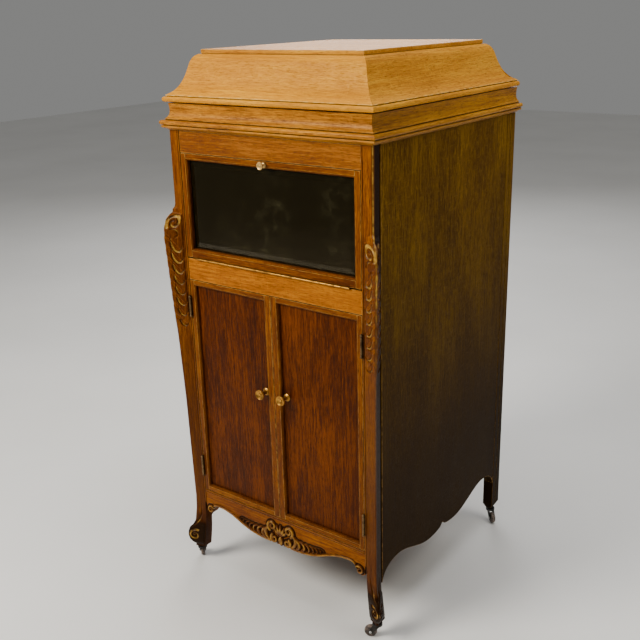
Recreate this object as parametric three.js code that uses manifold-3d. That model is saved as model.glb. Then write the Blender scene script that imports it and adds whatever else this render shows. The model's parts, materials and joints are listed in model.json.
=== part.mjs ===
// Upright wind-up phonograph with an internal horn, as an assembly of separate pieces.
// Millimetres. The cabinet is drawn with x = 0 on its centre plane, y = 0 on its front face,
// the room side towards -y, and z = 0 on the floor. The last lines move it to the part's own
// origin, the bottom centre of its bounding box.
import * as THREE from 'three';
import { mergeVertices } from 'three/addons/utils/BufferGeometryUtils.js';
import Module from 'manifold-3d';

const wasm = await Module();
wasm.setup();

// ---------------------------------------------------------------- driving dimensions
const HALF_WIDTH = 253; // case, over the front posts
const DEPTH = 570; // case, front face to back face
const HEIGHT = 1190; // floor to lid top
const GAP = 0.3; // between pieces that touch
const BOARD = 19; // door frames and rails
const THIN_BOARD = 12; // shelves, floors and the motor board

const FOOT_Z = 38; // underside of all four feet, on top of the casters
const DOOR_Z = [200.5, 714.3];
const MID_RAIL_Z = [715.3, 762.9];
const GLASS_DOOR_Z = [765.9, 986.8];
const TOP_RAIL_Z = [987.8, 1032.7];
const CORNICE_Z = [1033.3, 1086.8];
const LID_Z = 1089.3;
const TOP_BOARD_Z = 1181.3;

const POST = { width: 22, depth: 20, knee: 21 };
const BEAD_STRIP = 4.5; // upright bead between a front post and the doors
const OPENING_HALF = HALF_WIDTH - POST.width - BEAD_STRIP;
const BACK_LEG = { width: 25.4, depth: 36, chamfer: 7 };
const PANEL = { thickness: 18.5, tongue: 6.5, front: 20.3 };
const BACK_PANEL_THICKNESS = 10;
const SHELF_Z = { bottom: 203, records: 456, horn: 748.9 }; // undersides
const MOTOR_BOARD_TOP = 1062;

const LID_TOP_INSET = 53.5; // top board, in from the case faces
const BACK_STRETCH = 1.185; // the lid's back board slopes further in than the others
const CORNICE_BACK_Y = 576;
const MITRE_GAP = 0.22;

const SPINDLE = { x: -8, y: 258, radius: 3.6, top: 1092 };
const PLATTER = { radius: 152, z: [1071, 1084.6] };
const TONEARM = { x: 129, y: 458, swing: THREE.MathUtils.degToRad(8), length: 240, z: 1122 };
const BARREL = { x: SPINDLE.x - 52.5, y: SPINDLE.y, radius: 36 };
const CRANK = { y: SPINDLE.y, z: 1012, radius: 5, throw: 140, armX: -289, endX: -374 };

const DOOR_HINGE = { x: 226.2, y: -3, radius: 2.7, upper: [629, 679], lower: [237, 289] };
const GLASS_HINGE = { y: -2.6, z: 764.4, radius: 1.8, half: 200 };
const LID_HINGE = { y: 574, z: 1087.9, radius: 3, half: 200 };
const CASTER = { radius: 13.5, width: 9, trail: 14, stem: 4 };

// ---------------------------------------------------------------- materials
function material(color, roughness, metalness = 0) {
  return new THREE.MeshStandardMaterial({ color, roughness, metalness });
}
const OAK = material(0x7a4216, 0.42);
const OAK_LIGHT = material(0x96602a, 0.45);
const OAK_PANEL = material(0x5f2f12, 0.45);
const OAK_SIDE = material(0x4a2f15, 0.5);
const PLAIN_WOOD = material(0x5a3d22, 0.8);
const BRASS = material(0x9c7434, 0.4, 1);
const STEEL = material(0x8f8f8c, 0.35, 1);
const IRON = material(0x2b2a29, 0.6, 1);
const NICKEL = material(0xb9b6ad, 0.22, 1);
const WHEEL = material(0x3a2f2a, 0.6);
const EBONY = material(0x2a1710, 0.4);
const GLASS = new THREE.MeshStandardMaterial({
  color: 0x2c2a22,
  roughness: 0.05,
  metalness: 0,
  transparent: true,
  opacity: 0.5,
});

const cabinet = new THREE.Group();

function addPiece(name, geometry, finish, parent = cabinet) {
  const mesh = new THREE.Mesh(geometry, finish);
  mesh.name = name;
  parent.add(mesh);
  return mesh;
}

// ---------------------------------------------------------------- solid helpers
function toManifold(geometry) {
  const bare = geometry.clone();
  bare.deleteAttribute('normal');
  bare.deleteAttribute('uv');
  const merged = mergeVertices(bare, 1e-4);
  const vertProperties = new Float32Array(merged.attributes.position.array);
  const triVerts = new Uint32Array(merged.index.array);
  return new wasm.Manifold(new wasm.Mesh({ numProp: 3, vertProperties, triVerts }));
}

function toGeometry(solid) {
  const mesh = solid.getMesh();
  const geometry = new THREE.BufferGeometry();
  geometry.setAttribute('position', new THREE.BufferAttribute(new Float32Array(mesh.vertProperties), 3));
  geometry.setIndex(new THREE.BufferAttribute(new Uint32Array(mesh.triVerts), 1));
  return geometry;
}

function join(...geometries) {
  return toGeometry(geometries.map(toManifold).reduce((whole, piece) => whole.add(piece)));
}

function cut(geometry, ...tools) {
  return toGeometry(tools.map(toManifold).reduce((whole, tool) => whole.subtract(tool), toManifold(geometry)));
}

function block([x0, x1], [y0, y1], [z0, z1]) {
  const geometry = new THREE.BoxGeometry(x1 - x0, y1 - y0, z1 - z0);
  return geometry.translate((x0 + x1) / 2, (y0 + y1) / 2, (z0 + z1) / 2);
}

// A round bar between two points.
function rod(from, to, radius, sides = 16) {
  const start = new THREE.Vector3(...from);
  const along = new THREE.Vector3(...to).sub(start);
  const geometry = new THREE.CylinderGeometry(radius, radius, along.length(), sides);
  const turn = new THREE.Quaternion().setFromUnitVectors(new THREE.Vector3(0, 1, 0), along.clone().normalize());
  geometry.applyQuaternion(turn);
  return geometry.translate(...start.addScaledVector(along, 0.5).toArray());
}

function ball([x, y, z], radius, sides = 7) {
  return new THREE.SphereGeometry(radius, sides, sides - 2).translate(x, y, z);
}

// A body turned about an axis: the profile holds [radius, distance along the axis].
function turned(profile, axis, [x, y, z], sides = 20) {
  const geometry = new THREE.LatheGeometry(profile.map(([r, t]) => new THREE.Vector2(r, t)), sides);
  const direction = new THREE.Vector3(...axis);
  geometry.applyQuaternion(new THREE.Quaternion().setFromUnitVectors(new THREE.Vector3(0, 1, 0), direction));
  return geometry.translate(x, y, z);
}

// A ring turned about an axis, with a rectangular section.
function collar(inner, outer, [t0, t1], axis, at, sides = 20) {
  return turned([[inner, t0], [outer, t0], [outer, t1], [inner, t1], [inner, t0]], axis, at, sides);
}

// A shape drawn in the x-z plane, from y0 to y1.
function frontExtrusion(shape, [y0, y1], curveSegments = 5) {
  const geometry = new THREE.ExtrudeGeometry(shape, { depth: y1 - y0, bevelEnabled: false, curveSegments });
  return geometry.rotateX(Math.PI / 2).translate(0, y1, 0);
}

// A shape drawn in the y-z plane, from x0 to x1.
function sideExtrusion(shape, [x0, x1], curveSegments = 5) {
  const geometry = new THREE.ExtrudeGeometry(shape, { depth: x1 - x0, bevelEnabled: false, curveSegments });
  return geometry.rotateX(Math.PI / 2).rotateZ(Math.PI / 2).translate(x0, 0, 0);
}

// A shape drawn in the x-y plane, from z0 to z1.
function flatExtrusion(shape, [z0, z1], curveSegments = 5) {
  const geometry = new THREE.ExtrudeGeometry(shape, { depth: z1 - z0, bevelEnabled: false, curveSegments });
  return geometry.translate(0, 0, z0);
}

function rectangle([x0, x1], [y0, y1], PathType = THREE.Shape) {
  const path = new PathType();
  path.moveTo(x0, y0);
  path.lineTo(x1, y0);
  path.lineTo(x1, y1);
  path.lineTo(x0, y1);
  path.closePath();
  return path;
}

function signedVolume(positions, index) {
  const corner = (i) => new THREE.Vector3(...positions.slice(3 * i, 3 * i + 3));
  let total = 0;
  for (let i = 0; i < index.length; i += 3) {
    total += corner(index[i]).dot(corner(index[i + 1]).cross(corner(index[i + 2])));
  }
  return total / 6;
}

// A skin over rings of points. The ends are closed with the outline's triangles,
// or the last ring is joined back to the first where there is no outline.
function loft(rings, outline = null) {
  const count = rings[0].length;
  const positions = rings.flat(2);
  const index = [];
  const spans = outline ? rings.length - 1 : rings.length;
  for (let r = 0; r < spans; r += 1) {
    const near = r * count;
    const far = ((r + 1) % rings.length) * count;
    for (let i = 0; i < count; i += 1) {
      const j = (i + 1) % count;
      index.push(near + i, near + j, far + j, near + i, far + j, far + i);
    }
  }
  if (outline) {
    const sense = Math.sign(THREE.ShapeUtils.area(outline));
    const last = (rings.length - 1) * count;
    for (const [a, b, c] of THREE.ShapeUtils.triangulateShape(outline, [])) {
      const same = Math.sign(THREE.ShapeUtils.area([outline[a], outline[b], outline[c]])) === sense;
      const [p, q] = same ? [b, c] : [c, b];
      index.push(a, q, p, last + a, last + p, last + q);
    }
  }
  if (signedVolume(positions, index) < 0) index.reverse();
  const geometry = new THREE.BufferGeometry();
  geometry.setAttribute('position', new THREE.Float32BufferAttribute(positions, 3));
  geometry.setIndex(index);
  return geometry;
}

// ---------------------------------------------------------------- front posts
// How far the outer corner swells out of the straight post, along x and along y alike:
// a scroll foot, a slim ankle, a long taper and a scrolled knee below a small nib.
const POST_SWELL = [
  [38, 12], [45, 11], [49, 16], [58, 21], [70, 23], [82, 22], [91, 18.5], [98, 12], [108, 8.5],
  [122, 6.6], [142, 4.7], [175, 3.8], [235, 4.7], [330, 6], [424, 7.2], [495, 9], [572, 11.2], [650, 14.6],
  [700, 16.7], [760, 19.2], [806, POST.knee], [828, 19.7], [846, 15.7], [857, 8.6], [862, 4.6], [867, 5.8],
  [872, 1.3], [882, 0.3],
];
const ANKLE_LEAN_Z = 150; // below this the inner edges lean outwards with the foot
const ANKLE_LEAN = 10;

function postRing(side, z, swell) {
  const lean = ANKLE_LEAN * Math.max(0, (ANKLE_LEAN_Z - z) / (ANKLE_LEAN_Z - FOOT_Z)) ** 2;
  const inner = HALF_WIDTH - POST.width;
  return [
    [side * (inner + lean), -0.2 * lean, z],
    [side * (HALF_WIDTH + swell), -swell, z],
    [side * (HALF_WIDTH + lean), POST.depth, z],
    [side * (inner + lean), POST.depth, z],
  ];
}

function casterSocket([x, y]) {
  return rod([x, y, FOOT_Z - 5], [x, y, FOOT_Z + 13], CASTER.stem + GAP, 12);
}

const FRONT_STEM = [255, 3];
const BACK_STEM = [HALF_WIDTH - BACK_LEG.width / 2, DEPTH - BACK_LEG.depth / 2];

function frontPost(side) {
  const rings = POST_SWELL.map(([z, swell]) => postRing(side, z, swell));
  rings.push(postRing(side, TOP_RAIL_Z[1], 0));
  const outline = rings[0].map(([x, y]) => new THREE.Vector2(x, y));
  const strip = [OPENING_HALF, HALF_WIDTH - POST.width + 1].map((x) => side * x).sort((a, b) => a - b);
  const bead = block(strip, [2, POST.depth], [FOOT_Z + 125, TOP_RAIL_Z[1]]);
  return cut(join(loft(rings, outline), bead), casterSocket([side * FRONT_STEM[0], FRONT_STEM[1]]));
}

// ---------------------------------------------------------------- case boards
function backLeg(side) {
  const square = (z, inset) => {
    const x0 = side * (HALF_WIDTH - BACK_LEG.width + inset);
    const x1 = side * (HALF_WIDTH - inset);
    const y0 = DEPTH - BACK_LEG.depth + inset;
    const y1 = DEPTH - inset;
    return [[x0, y0, z], [x1, y0, z], [x1, y1, z], [x0, y1, z]];
  };
  const { chamfer } = BACK_LEG;
  const rings = [square(FOOT_Z, chamfer), square(FOOT_Z + 2 * chamfer, 0), square(TOP_RAIL_Z[1], 0)];
  const outline = rings[1].map(([x, y]) => new THREE.Vector2(x, y));
  return cut(loft(rings, outline), casterSocket([side * BACK_STEM[0], BACK_STEM[1]]));
}

const PANEL_BACK_Y = DEPTH - BACK_LEG.depth - GAP;

// Heights along the side board's lower edge.
const SKIRT = { leg: 118, shoulder: 146, crest: 156, lobe: 122, turn: 130, cusp: 136.5 };

// The side board's lower edge: two shallow lobes that meet in a cusp, and a bracket at each leg.
function sideOutline() {
  const { leg, shoulder, crest, lobe, turn, cusp } = SKIRT;
  const middle = (PANEL.front + PANEL.tongue + PANEL_BACK_Y) / 2;
  const shape = new THREE.Shape();
  shape.moveTo(PANEL.front, TOP_RAIL_Z[1]);
  shape.lineTo(PANEL.front, leg - 2);
  shape.lineTo(PANEL.front + PANEL.tongue, leg);
  shape.bezierCurveTo(middle - 247, shoulder, middle - 222, crest, middle - 190, crest);
  shape.bezierCurveTo(middle - 150, crest, middle - 105, lobe, middle - 55, lobe);
  shape.quadraticCurveTo(middle - 20, lobe, middle - 5, turn);
  shape.lineTo(middle, cusp);
  shape.lineTo(middle + 5, turn);
  shape.quadraticCurveTo(middle + 20, lobe, middle + 55, lobe);
  shape.bezierCurveTo(middle + 105, lobe, middle + 150, crest, middle + 190, crest);
  shape.bezierCurveTo(middle + 222, crest, middle + 247, shoulder, PANEL_BACK_Y, leg);
  shape.lineTo(PANEL_BACK_Y, TOP_RAIL_Z[1]);
  shape.closePath();
  return shape;
}

const OUTER_X = HALF_WIDTH - 0.5; // the side boards stand just inside the post faces
const SIDE_INNER = OUTER_X - PANEL.thickness;

function sidePanel(side) {
  const [x0, x1] = [side * SIDE_INNER, side * OUTER_X].sort((a, b) => a - b);
  const board = sideExtrusion(sideOutline(), [x0, x1]);
  const grooveX = [side * (OUTER_X - PANEL.tongue), side * (OUTER_X + 1)].sort((a, b) => a - b);
  const groove = block(grooveX, [PANEL.front - 1, PANEL.front + PANEL.tongue], [100, TOP_RAIL_Z[1] + 1]);
  if (side > 0) return cut(board, groove);
  const shaftHole = rod([x0 - 1, CRANK.y, CRANK.z], [x1 + 1, CRANK.y, CRANK.z], 9.5, 20);
  return cut(board, groove, shaftHole);
}

// Heights along the apron's lower edge.
const APRON = { cartouche: 128, crest: 162, scroll: 136, end: 141 };

// The apron's lower edge rises from a centre cartouche to a crest and ends in a scroll by each post.
function apronShape() {
  const { cartouche, crest, scroll } = APRON;
  const end = OPENING_HALF - GAP;
  const top = DOOR_Z[0] - 1.2;
  const shape = new THREE.Shape();
  shape.moveTo(-end, top);
  shape.lineTo(-end, APRON.end);
  shape.quadraticCurveTo(-end + 4, scroll - 1, -end + 11, scroll);
  shape.quadraticCurveTo(-end + 23, scroll + 2, -end + 22, scroll + 14);
  shape.quadraticCurveTo(-end + 20, crest - 2, -end + 30, crest);
  shape.bezierCurveTo(-165, crest + 1, -145, crest - 5, -125, 147);
  shape.bezierCurveTo(-100, 135, -85, cartouche + 1, -50, cartouche);
  shape.lineTo(50, cartouche);
  shape.bezierCurveTo(85, cartouche + 1, 100, 135, 125, 147);
  shape.bezierCurveTo(145, crest - 5, 165, crest + 1, end - 30, crest);
  shape.quadraticCurveTo(end - 20, crest - 2, end - 22, scroll + 14);
  shape.quadraticCurveTo(end - 23, scroll + 2, end - 11, scroll);
  shape.quadraticCurveTo(end - 4, scroll - 1, end, APRON.end);
  shape.lineTo(end, top);
  shape.closePath();
  return shape;
}

function buildCase() {
  for (const [word, side] of [['left', -1], ['right', 1]]) {
    addPiece(`front_post_${word}`, frontPost(side), OAK);
    addPiece(`back_leg_${word}`, backLeg(side), OAK_SIDE);
    addPiece(`side_panel_${word}`, sidePanel(side), OAK_SIDE);
  }
  const railX = [-OPENING_HALF + GAP, OPENING_HALF - GAP];
  addPiece('top_rail', block(railX, [1, POST.depth], TOP_RAIL_Z), OAK);
  addPiece('mid_rail', block(railX, [1, POST.depth], MID_RAIL_Z), OAK_LIGHT);
  addPiece('apron', frontExtrusion(apronShape(), [1, POST.depth]), OAK);

  const insideX = [-SIDE_INNER + GAP, SIDE_INNER - GAP];
  const insideY = [POST.depth + 1, DEPTH - BACK_PANEL_THICKNESS - 2 * GAP];
  // The shelves are cut away round the back legs.
  const legInner = HALF_WIDTH - BACK_LEG.width - GAP;
  const notchY = [DEPTH - BACK_LEG.depth - 2 * GAP, DEPTH];
  const notches = [[-HALF_WIDTH, -legInner], [legInner, HALF_WIDTH]].map((x) => block(x, notchY, [0, HEIGHT]));
  const shelf = (z) => cut(block(insideX, insideY, [z, z + THIN_BOARD]), ...notches);
  addPiece('bottom_board', shelf(SHELF_Z.bottom), PLAIN_WOOD);
  addPiece('record_shelf', shelf(SHELF_Z.records), PLAIN_WOOD);
  addPiece('horn_shelf', shelf(SHELF_Z.horn), PLAIN_WOOD);

  const backX = [-HALF_WIDTH + BACK_LEG.width + GAP, HALF_WIDTH - BACK_LEG.width - GAP];
  const backY = [DEPTH - BACK_PANEL_THICKNESS - GAP, DEPTH - GAP];
  addPiece('back_panel', block(backX, backY, [160, CORNICE_Z[1]]), PLAIN_WOOD);
}

// ---------------------------------------------------------------- mitred mouldings
// The outlines are drawn as [inset from the case face, height].
const CORNICE_INNER = 21;

function corniceOutline() {
  const [bottom, top] = CORNICE_Z;
  const inner = CORNICE_INNER;
  const shape = new THREE.Shape();
  shape.moveTo(inner, bottom);
  shape.lineTo(-0.5, bottom);
  shape.quadraticCurveTo(-3, bottom + 3.5, -8, bottom + 5);
  shape.absarc(-8.4, bottom + 7.6, 2.6, -Math.PI / 2, Math.PI / 2, true);
  shape.absarc(-8.4, bottom + 15, 4.8, -Math.PI / 2, Math.PI / 2, true);
  shape.lineTo(-3.6, bottom + 21);
  shape.quadraticCurveTo(3, bottom + 28, 3.2, bottom + 38);
  shape.quadraticCurveTo(3.2, bottom + 46, 1.6, top);
  shape.lineTo(inner, top);
  shape.closePath();
  return shape.getPoints(5);
}

function lidOutline(beaded) {
  const bottom = LID_Z;
  const top = TOP_BOARD_Z - GAP;
  const shape = new THREE.Shape();
  shape.moveTo(15, bottom);
  shape.lineTo(beaded ? -1.6 : 0, bottom);
  if (beaded) shape.absarc(-1.6, bottom + 5.4, 5.4, -Math.PI / 2, Math.PI / 2, true);
  else shape.lineTo(0, bottom + 10.8);
  shape.lineTo(1, bottom + 15.2);
  shape.bezierCurveTo(16, bottom + 23, 25, bottom + 36, 33, bottom + 64);
  shape.bezierCurveTo(37, bottom + 78, 41, bottom + 88, 50.5, top);
  shape.lineTo(76, top);
  shape.lineTo(58, bottom + 78);
  shape.lineTo(42, bottom + 42);
  shape.lineTo(24, bottom + 24);
  shape.lineTo(15, bottom + 16);
  shape.closePath();
  return shape.getPoints(5);
}

const backY = (inset) => DEPTH - BACK_STRETCH * Math.max(0, inset);

// Four boards run round the case: each ends on the mitre plane at its corners.
const BOARD_ENDS = {
  front: (inset, z) => [
    [-HALF_WIDTH + inset + MITRE_GAP, inset, z],
    [HALF_WIDTH - inset - MITRE_GAP, inset, z],
  ],
  back: (inset, z) => [
    [-HALF_WIDTH + inset + MITRE_GAP, backY(inset), z],
    [HALF_WIDTH - inset - MITRE_GAP, backY(inset), z],
  ],
  left: (inset, z) => [
    [-HALF_WIDTH + inset, inset + MITRE_GAP, z],
    [-HALF_WIDTH + inset, backY(inset) - MITRE_GAP, z],
  ],
  right: (inset, z) => [
    [HALF_WIDTH - inset, inset + MITRE_GAP, z],
    [HALF_WIDTH - inset, backY(inset) - MITRE_GAP, z],
  ],
};

function mitredBoard(outline, side, backEnd = null) {
  const ends = outline.map(({ x, y }) => BOARD_ENDS[side](x, y));
  const near = ends.map(([point]) => point);
  const far = ends.map(([, [x, y, z]]) => [x, backEnd ?? y, z]);
  return loft([near, far], outline);
}

function buildCornice() {
  const outline = corniceOutline();
  addPiece('cornice_front', mitredBoard(outline, 'front'), OAK);
  addPiece('cornice_left', mitredBoard(outline, 'left', CORNICE_BACK_Y), OAK);
  addPiece('cornice_right', mitredBoard(outline, 'right', CORNICE_BACK_Y), OAK);
}

function buildLid() {
  addPiece('lid_front_board', mitredBoard(lidOutline(true), 'front'), OAK_LIGHT);
  addPiece('lid_left_board', mitredBoard(lidOutline(true), 'left'), OAK_LIGHT);
  addPiece('lid_right_board', mitredBoard(lidOutline(true), 'right'), OAK_LIGHT);
  addPiece('lid_back_board', mitredBoard(lidOutline(false), 'back'), OAK_LIGHT);
  const half = HALF_WIDTH - LID_TOP_INSET;
  const top = block([-half, half], [LID_TOP_INSET, backY(LID_TOP_INSET)], [TOP_BOARD_Z, HEIGHT]);
  addPiece('lid_top_board', top, OAK_LIGHT);

  const { y, z, radius, half: reach } = LID_HINGE;
  const barrel = rod([-reach, y, z], [reach, y, z], radius);
  const leaf = block([-reach, reach], [DEPTH, DEPTH + 1.4], [z - 26, z]);
  addPiece('lid_hinge', join(barrel, leaf), BRASS);
}

// ---------------------------------------------------------------- doors
// A frame whose front lip holds a board that is put in from behind.
function doorFrame([x0, x1], [z0, z1], [left, right, bottom, top], lip) {
  const ring = (grow, depth) => {
    const shape = rectangle([x0, x1], [z0, z1]);
    const hole = [[x0 + left - grow, x1 - right + grow], [z0 + bottom - grow, z1 - top + grow]];
    shape.holes.push(rectangle(...hole, THREE.Path));
    return frontExtrusion(shape, depth);
  };
  return join(ring(0, [0.5, lip]), ring(6, [lip - 0.01, BOARD]));
}

function doorBoard([x0, x1], [z0, z1], [left, right, bottom, top], [y0, y1]) {
  const grow = 6 - GAP;
  return block([x0 + left - grow, x1 - right + grow], [y0, y1], [z0 + bottom - grow, z1 - top + grow]);
}

function knob([x, y, z], reach, head) {
  const profile = [
    [0, 0], [head * 0.7, 0], [head * 0.7, 1.6], [head * 0.36, 3.4], [head * 0.34, reach * 0.5],
    [head * 0.84, reach * 0.78], [head, reach * 0.92], [head * 0.8, reach], [0, reach],
  ];
  return turned(profile, [0, -1, 0], [x, y, z], 14);
}

function buttHinge(side, [z0, z1]) {
  const x = side * DOOR_HINGE.x;
  const { y, radius } = DOOR_HINGE;
  const leafX = [side * (DOOR_HINGE.x - 0.5), side * DOOR_HINGE.x].sort((a, b) => a - b);
  return join(
    rod([x, y, z0 + 3], [x, y, z1 - 3], radius, 10),
    ball([x, y, z0 + 3.4], 3.4),
    ball([x, y, z1 - 3.4], 3.4),
    block(leafX, [y, 15], [z0 + 5, z1 - 5]),
  );
}

function buildDoors() {
  const members = { outer: 15, inner: 18.5, bottom: 14.5, top: 14 };
  for (const [word, side] of [['left', -1], ['right', 1]]) {
    const x = [side * 0.6, side * (OPENING_HALF - 1.1)].sort((a, b) => a - b);
    const { outer, inner, bottom, top } = members;
    const widths = side < 0 ? [outer, inner, bottom, top] : [inner, outer, bottom, top];
    addPiece(`${word}_door_frame`, doorFrame(x, DOOR_Z, widths, 8), OAK_LIGHT);
    addPiece(`${word}_door_panel`, doorBoard(x, DOOR_Z, widths, [8 + GAP, 15]), OAK_PANEL);
    addPiece(`${word}_door_knob`, knob([side * 28, 8, 495], 24, 11.5), BRASS);
    addPiece(`${word}_door_upper_hinge`, buttHinge(side, DOOR_HINGE.upper), BRASS);
    addPiece(`${word}_door_lower_hinge`, buttHinge(side, DOOR_HINGE.lower), BRASS);
  }
  const x = [-OPENING_HALF + 1.1, OPENING_HALF - 1.1];
  const widths = [16.5, 16.5, 19, 14.5];
  addPiece('glass_door_frame', doorFrame(x, GLASS_DOOR_Z, widths, 8), OAK);
  addPiece('glass_pane', doorBoard(x, GLASS_DOOR_Z, widths, [8 + GAP, 12.3]), GLASS);
  addPiece('glass_door_knob', knob([0, 0.2, 979.5], 13, 8), BRASS);
  const { y, z, radius, half } = GLASS_HINGE;
  const barrel = rod([-half, y, z], [half, y, z], radius, 10);
  const leaf = block([-half, half], [y, 16], [z + 0.5, z + 1.1]);
  addPiece('glass_door_hinge', join(barrel, leaf), BRASS);
}

// ---------------------------------------------------------------- casters
// Each fork trails in its own direction, as casters stand after the case has been moved.
function caster(name, [x, y], [dx, dy]) {
  const group = new THREE.Group();
  group.position.set(x, y, 0);
  group.rotation.z = Math.atan2(dy, dx);
  cabinet.add(group);
  const { radius, width, trail, stem } = CASTER;
  const cheekY = width / 2 + 0.6;
  const plateZ = 2 * radius + 2.5;
  const cheekShape = new THREE.Shape();
  cheekShape.moveTo(-7, plateZ + 1);
  cheekShape.lineTo(trail - 4, radius - 3);
  cheekShape.absarc(trail, radius, 4.6, Math.PI * 1.25, Math.PI * 2.1, false);
  cheekShape.lineTo(9, plateZ + 1);
  cheekShape.closePath();
  const cheek = (side) => {
    const depth = side > 0 ? [cheekY, cheekY + 2] : [-cheekY - 2, -cheekY];
    return frontExtrusion(cheekShape, depth, 4);
  };
  const fork = join(
    rod([0, 0, plateZ], [0, 0, FOOT_Z + 12], stem, 12),
    rod([0, 0, plateZ], [0, 0, FOOT_Z - 3], 11, 14),
    cheek(1),
    cheek(-1),
    rod([trail, -cheekY - 1, radius], [trail, cheekY + 1, radius], 2, 10),
  );
  addPiece(`${name}_caster_fork`, fork, IRON, group);
  const rim = [
    [2.4, -width / 2], [radius - 3, -width / 2], [radius, -width / 4], [radius, width / 4],
    [radius - 3, width / 2], [2.4, width / 2], [2.4, -width / 2],
  ];
  addPiece(`${name}_caster_wheel`, turned(rim, [0, 1, 0], [trail, 0, radius], 20), WHEEL, group);
}

function buildCasters() {
  caster('front_left', [-FRONT_STEM[0], FRONT_STEM[1]], [-0.73, 0.68]);
  caster('front_right', FRONT_STEM, [-0.9, -0.43]);
  caster('back_left', [-BACK_STEM[0], BACK_STEM[1]], [-0.6, 0.8]);
  caster('back_right', BACK_STEM, [0.75, -0.66]);
}

// ---------------------------------------------------------------- horn
// A flared wooden duct: wide and flat behind the glass door, small and round at the iron elbow.
const HORN_WALL = 6;
const HORN_STATIONS = [
  { y: 22, centre: [0, 878.5], half: [205, 93], corner: 10 },
  { y: 80, centre: [8, 872], half: [160, 80], corner: 14 },
  { y: 150, centre: [30, 868], half: [118, 68], corner: 20 },
  { y: 280, centre: [86, 872], half: [62, 50], corner: 24 },
  { y: 400, centre: [TONEARM.x, 882], half: [24, 24], corner: 24 },
];

// One cross-section, as points on a rectangle with round corners.
function hornRing({ y, centre, half, corner }, grow) {
  const ring = [];
  for (let quarter = 0; quarter < 4; quarter += 1) {
    const signX = quarter === 0 || quarter === 3 ? 1 : -1;
    const signZ = quarter < 2 ? 1 : -1;
    for (let step = 0; step <= 4; step += 1) {
      const angle = ((quarter + step / 4) * Math.PI) / 2;
      const reach = corner + grow;
      const x = centre[0] + signX * (half[0] - corner) + reach * Math.cos(angle);
      const z = centre[1] + signZ * (half[1] - corner) + reach * Math.sin(angle);
      ring.push([x, y, z]);
    }
  }
  return ring;
}

const ELBOW = { y: 401, z: 882, bore: 24, wall: 5, steps: 8, sides: 12 };

// Rings round the iron elbow's centre line: back from the horn, round the bend and up through the deck.
function throatRings(radius) {
  const bend = TONEARM.y - ELBOW.y;
  const start = new THREE.Vector3(TONEARM.x, ELBOW.y, ELBOW.z);
  const corner = new THREE.Vector3(TONEARM.x, TONEARM.y, ELBOW.z);
  const rise = new THREE.Vector3(TONEARM.x, TONEARM.y, ELBOW.z + bend);
  const turn = new THREE.QuadraticBezierCurve3(start, corner, rise);
  const ring = (at, along) => Array.from({ length: ELBOW.sides }, (_, k) => {
    const angle = (k * 2 * Math.PI) / ELBOW.sides;
    const up = radius * Math.sin(angle);
    return [at.x + radius * Math.cos(angle), at.y - up * along.z, at.z + up * along.y];
  });
  const rings = [];
  for (let i = 0; i <= ELBOW.steps; i += 1) {
    rings.push(ring(turn.getPoint(i / ELBOW.steps), turn.getTangent(i / ELBOW.steps)));
  }
  const top = new THREE.Vector3(TONEARM.x, TONEARM.y, MOTOR_BOARD_TOP + 17);
  rings.push(ring(top, new THREE.Vector3(0, 0, 1)));
  return rings;
}

function buildHorn() {
  const outside = HORN_STATIONS.map((station) => hornRing(station, HORN_WALL));
  const inside = HORN_STATIONS.map((station) => hornRing(station, 0)).reverse();
  addPiece('horn', loft([...outside, ...inside]), PLAIN_WOOD);

  const tube = loft([...throatRings(ELBOW.bore + ELBOW.wall), ...throatRings(ELBOW.bore).reverse()]);
  const flangeZ = [MOTOR_BOARD_TOP + GAP, MOTOR_BOARD_TOP + 4];
  const flange = collar(ELBOW.bore + 1, 42, flangeZ, [0, 0, 1], [TONEARM.x, TONEARM.y, 0], 24);
  addPiece('horn_throat', join(tube, flange), IRON);
}

// ---------------------------------------------------------------- motor and winding
function gearShape(teeth, pitchRadius, depth, phase, bore) {
  const shape = new THREE.Shape();
  const pitch = (2 * Math.PI) / teeth;
  const flank = [[-0.3, -1], [-0.14, 1], [0.14, 1], [0.3, -1]];
  for (let tooth = 0; tooth < teeth; tooth += 1) {
    flank.forEach(([turn, side], corner) => {
      const angle = phase + (tooth + turn) * pitch;
      const radius = pitchRadius + side * depth;
      const point = [radius * Math.cos(angle), radius * Math.sin(angle)];
      if (tooth + corner === 0) shape.moveTo(...point);
      else shape.lineTo(...point);
    });
  }
  shape.closePath();
  if (bore) shape.holes.push(new THREE.Path().absarc(0, 0, bore, 0, 2 * Math.PI, true));
  return shape;
}

const GREAT_WHEEL = { teeth: 36, pinion: 6, depth: 1.5 };
const CROWN = { teeth: 24, pinion: 8, radius: 24, pinionRadius: 8 };
const WORM = { x: SPINDLE.x + 21.5, z: 1026, radius: 4, wheelTeeth: 18 };
// The governor's shaft runs front to back: the spans are along it.
const GOVERNOR = {
  shaft: 2.2, ends: [205, 316], worm: [250, 266], hub: [272, 276], disc: [302, 305], discRadius: 15,
  weights: 3, ball: 4.6,
};

// Two plates on four pillars, hung under the motor board.
const PLATES = { x: [-118, 48], y: [186, 330], bottom: [946, 951], top: 1043.5 };
const ARBOR = { bottom: 952, bore: 5.2, hole: 6 };

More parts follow.
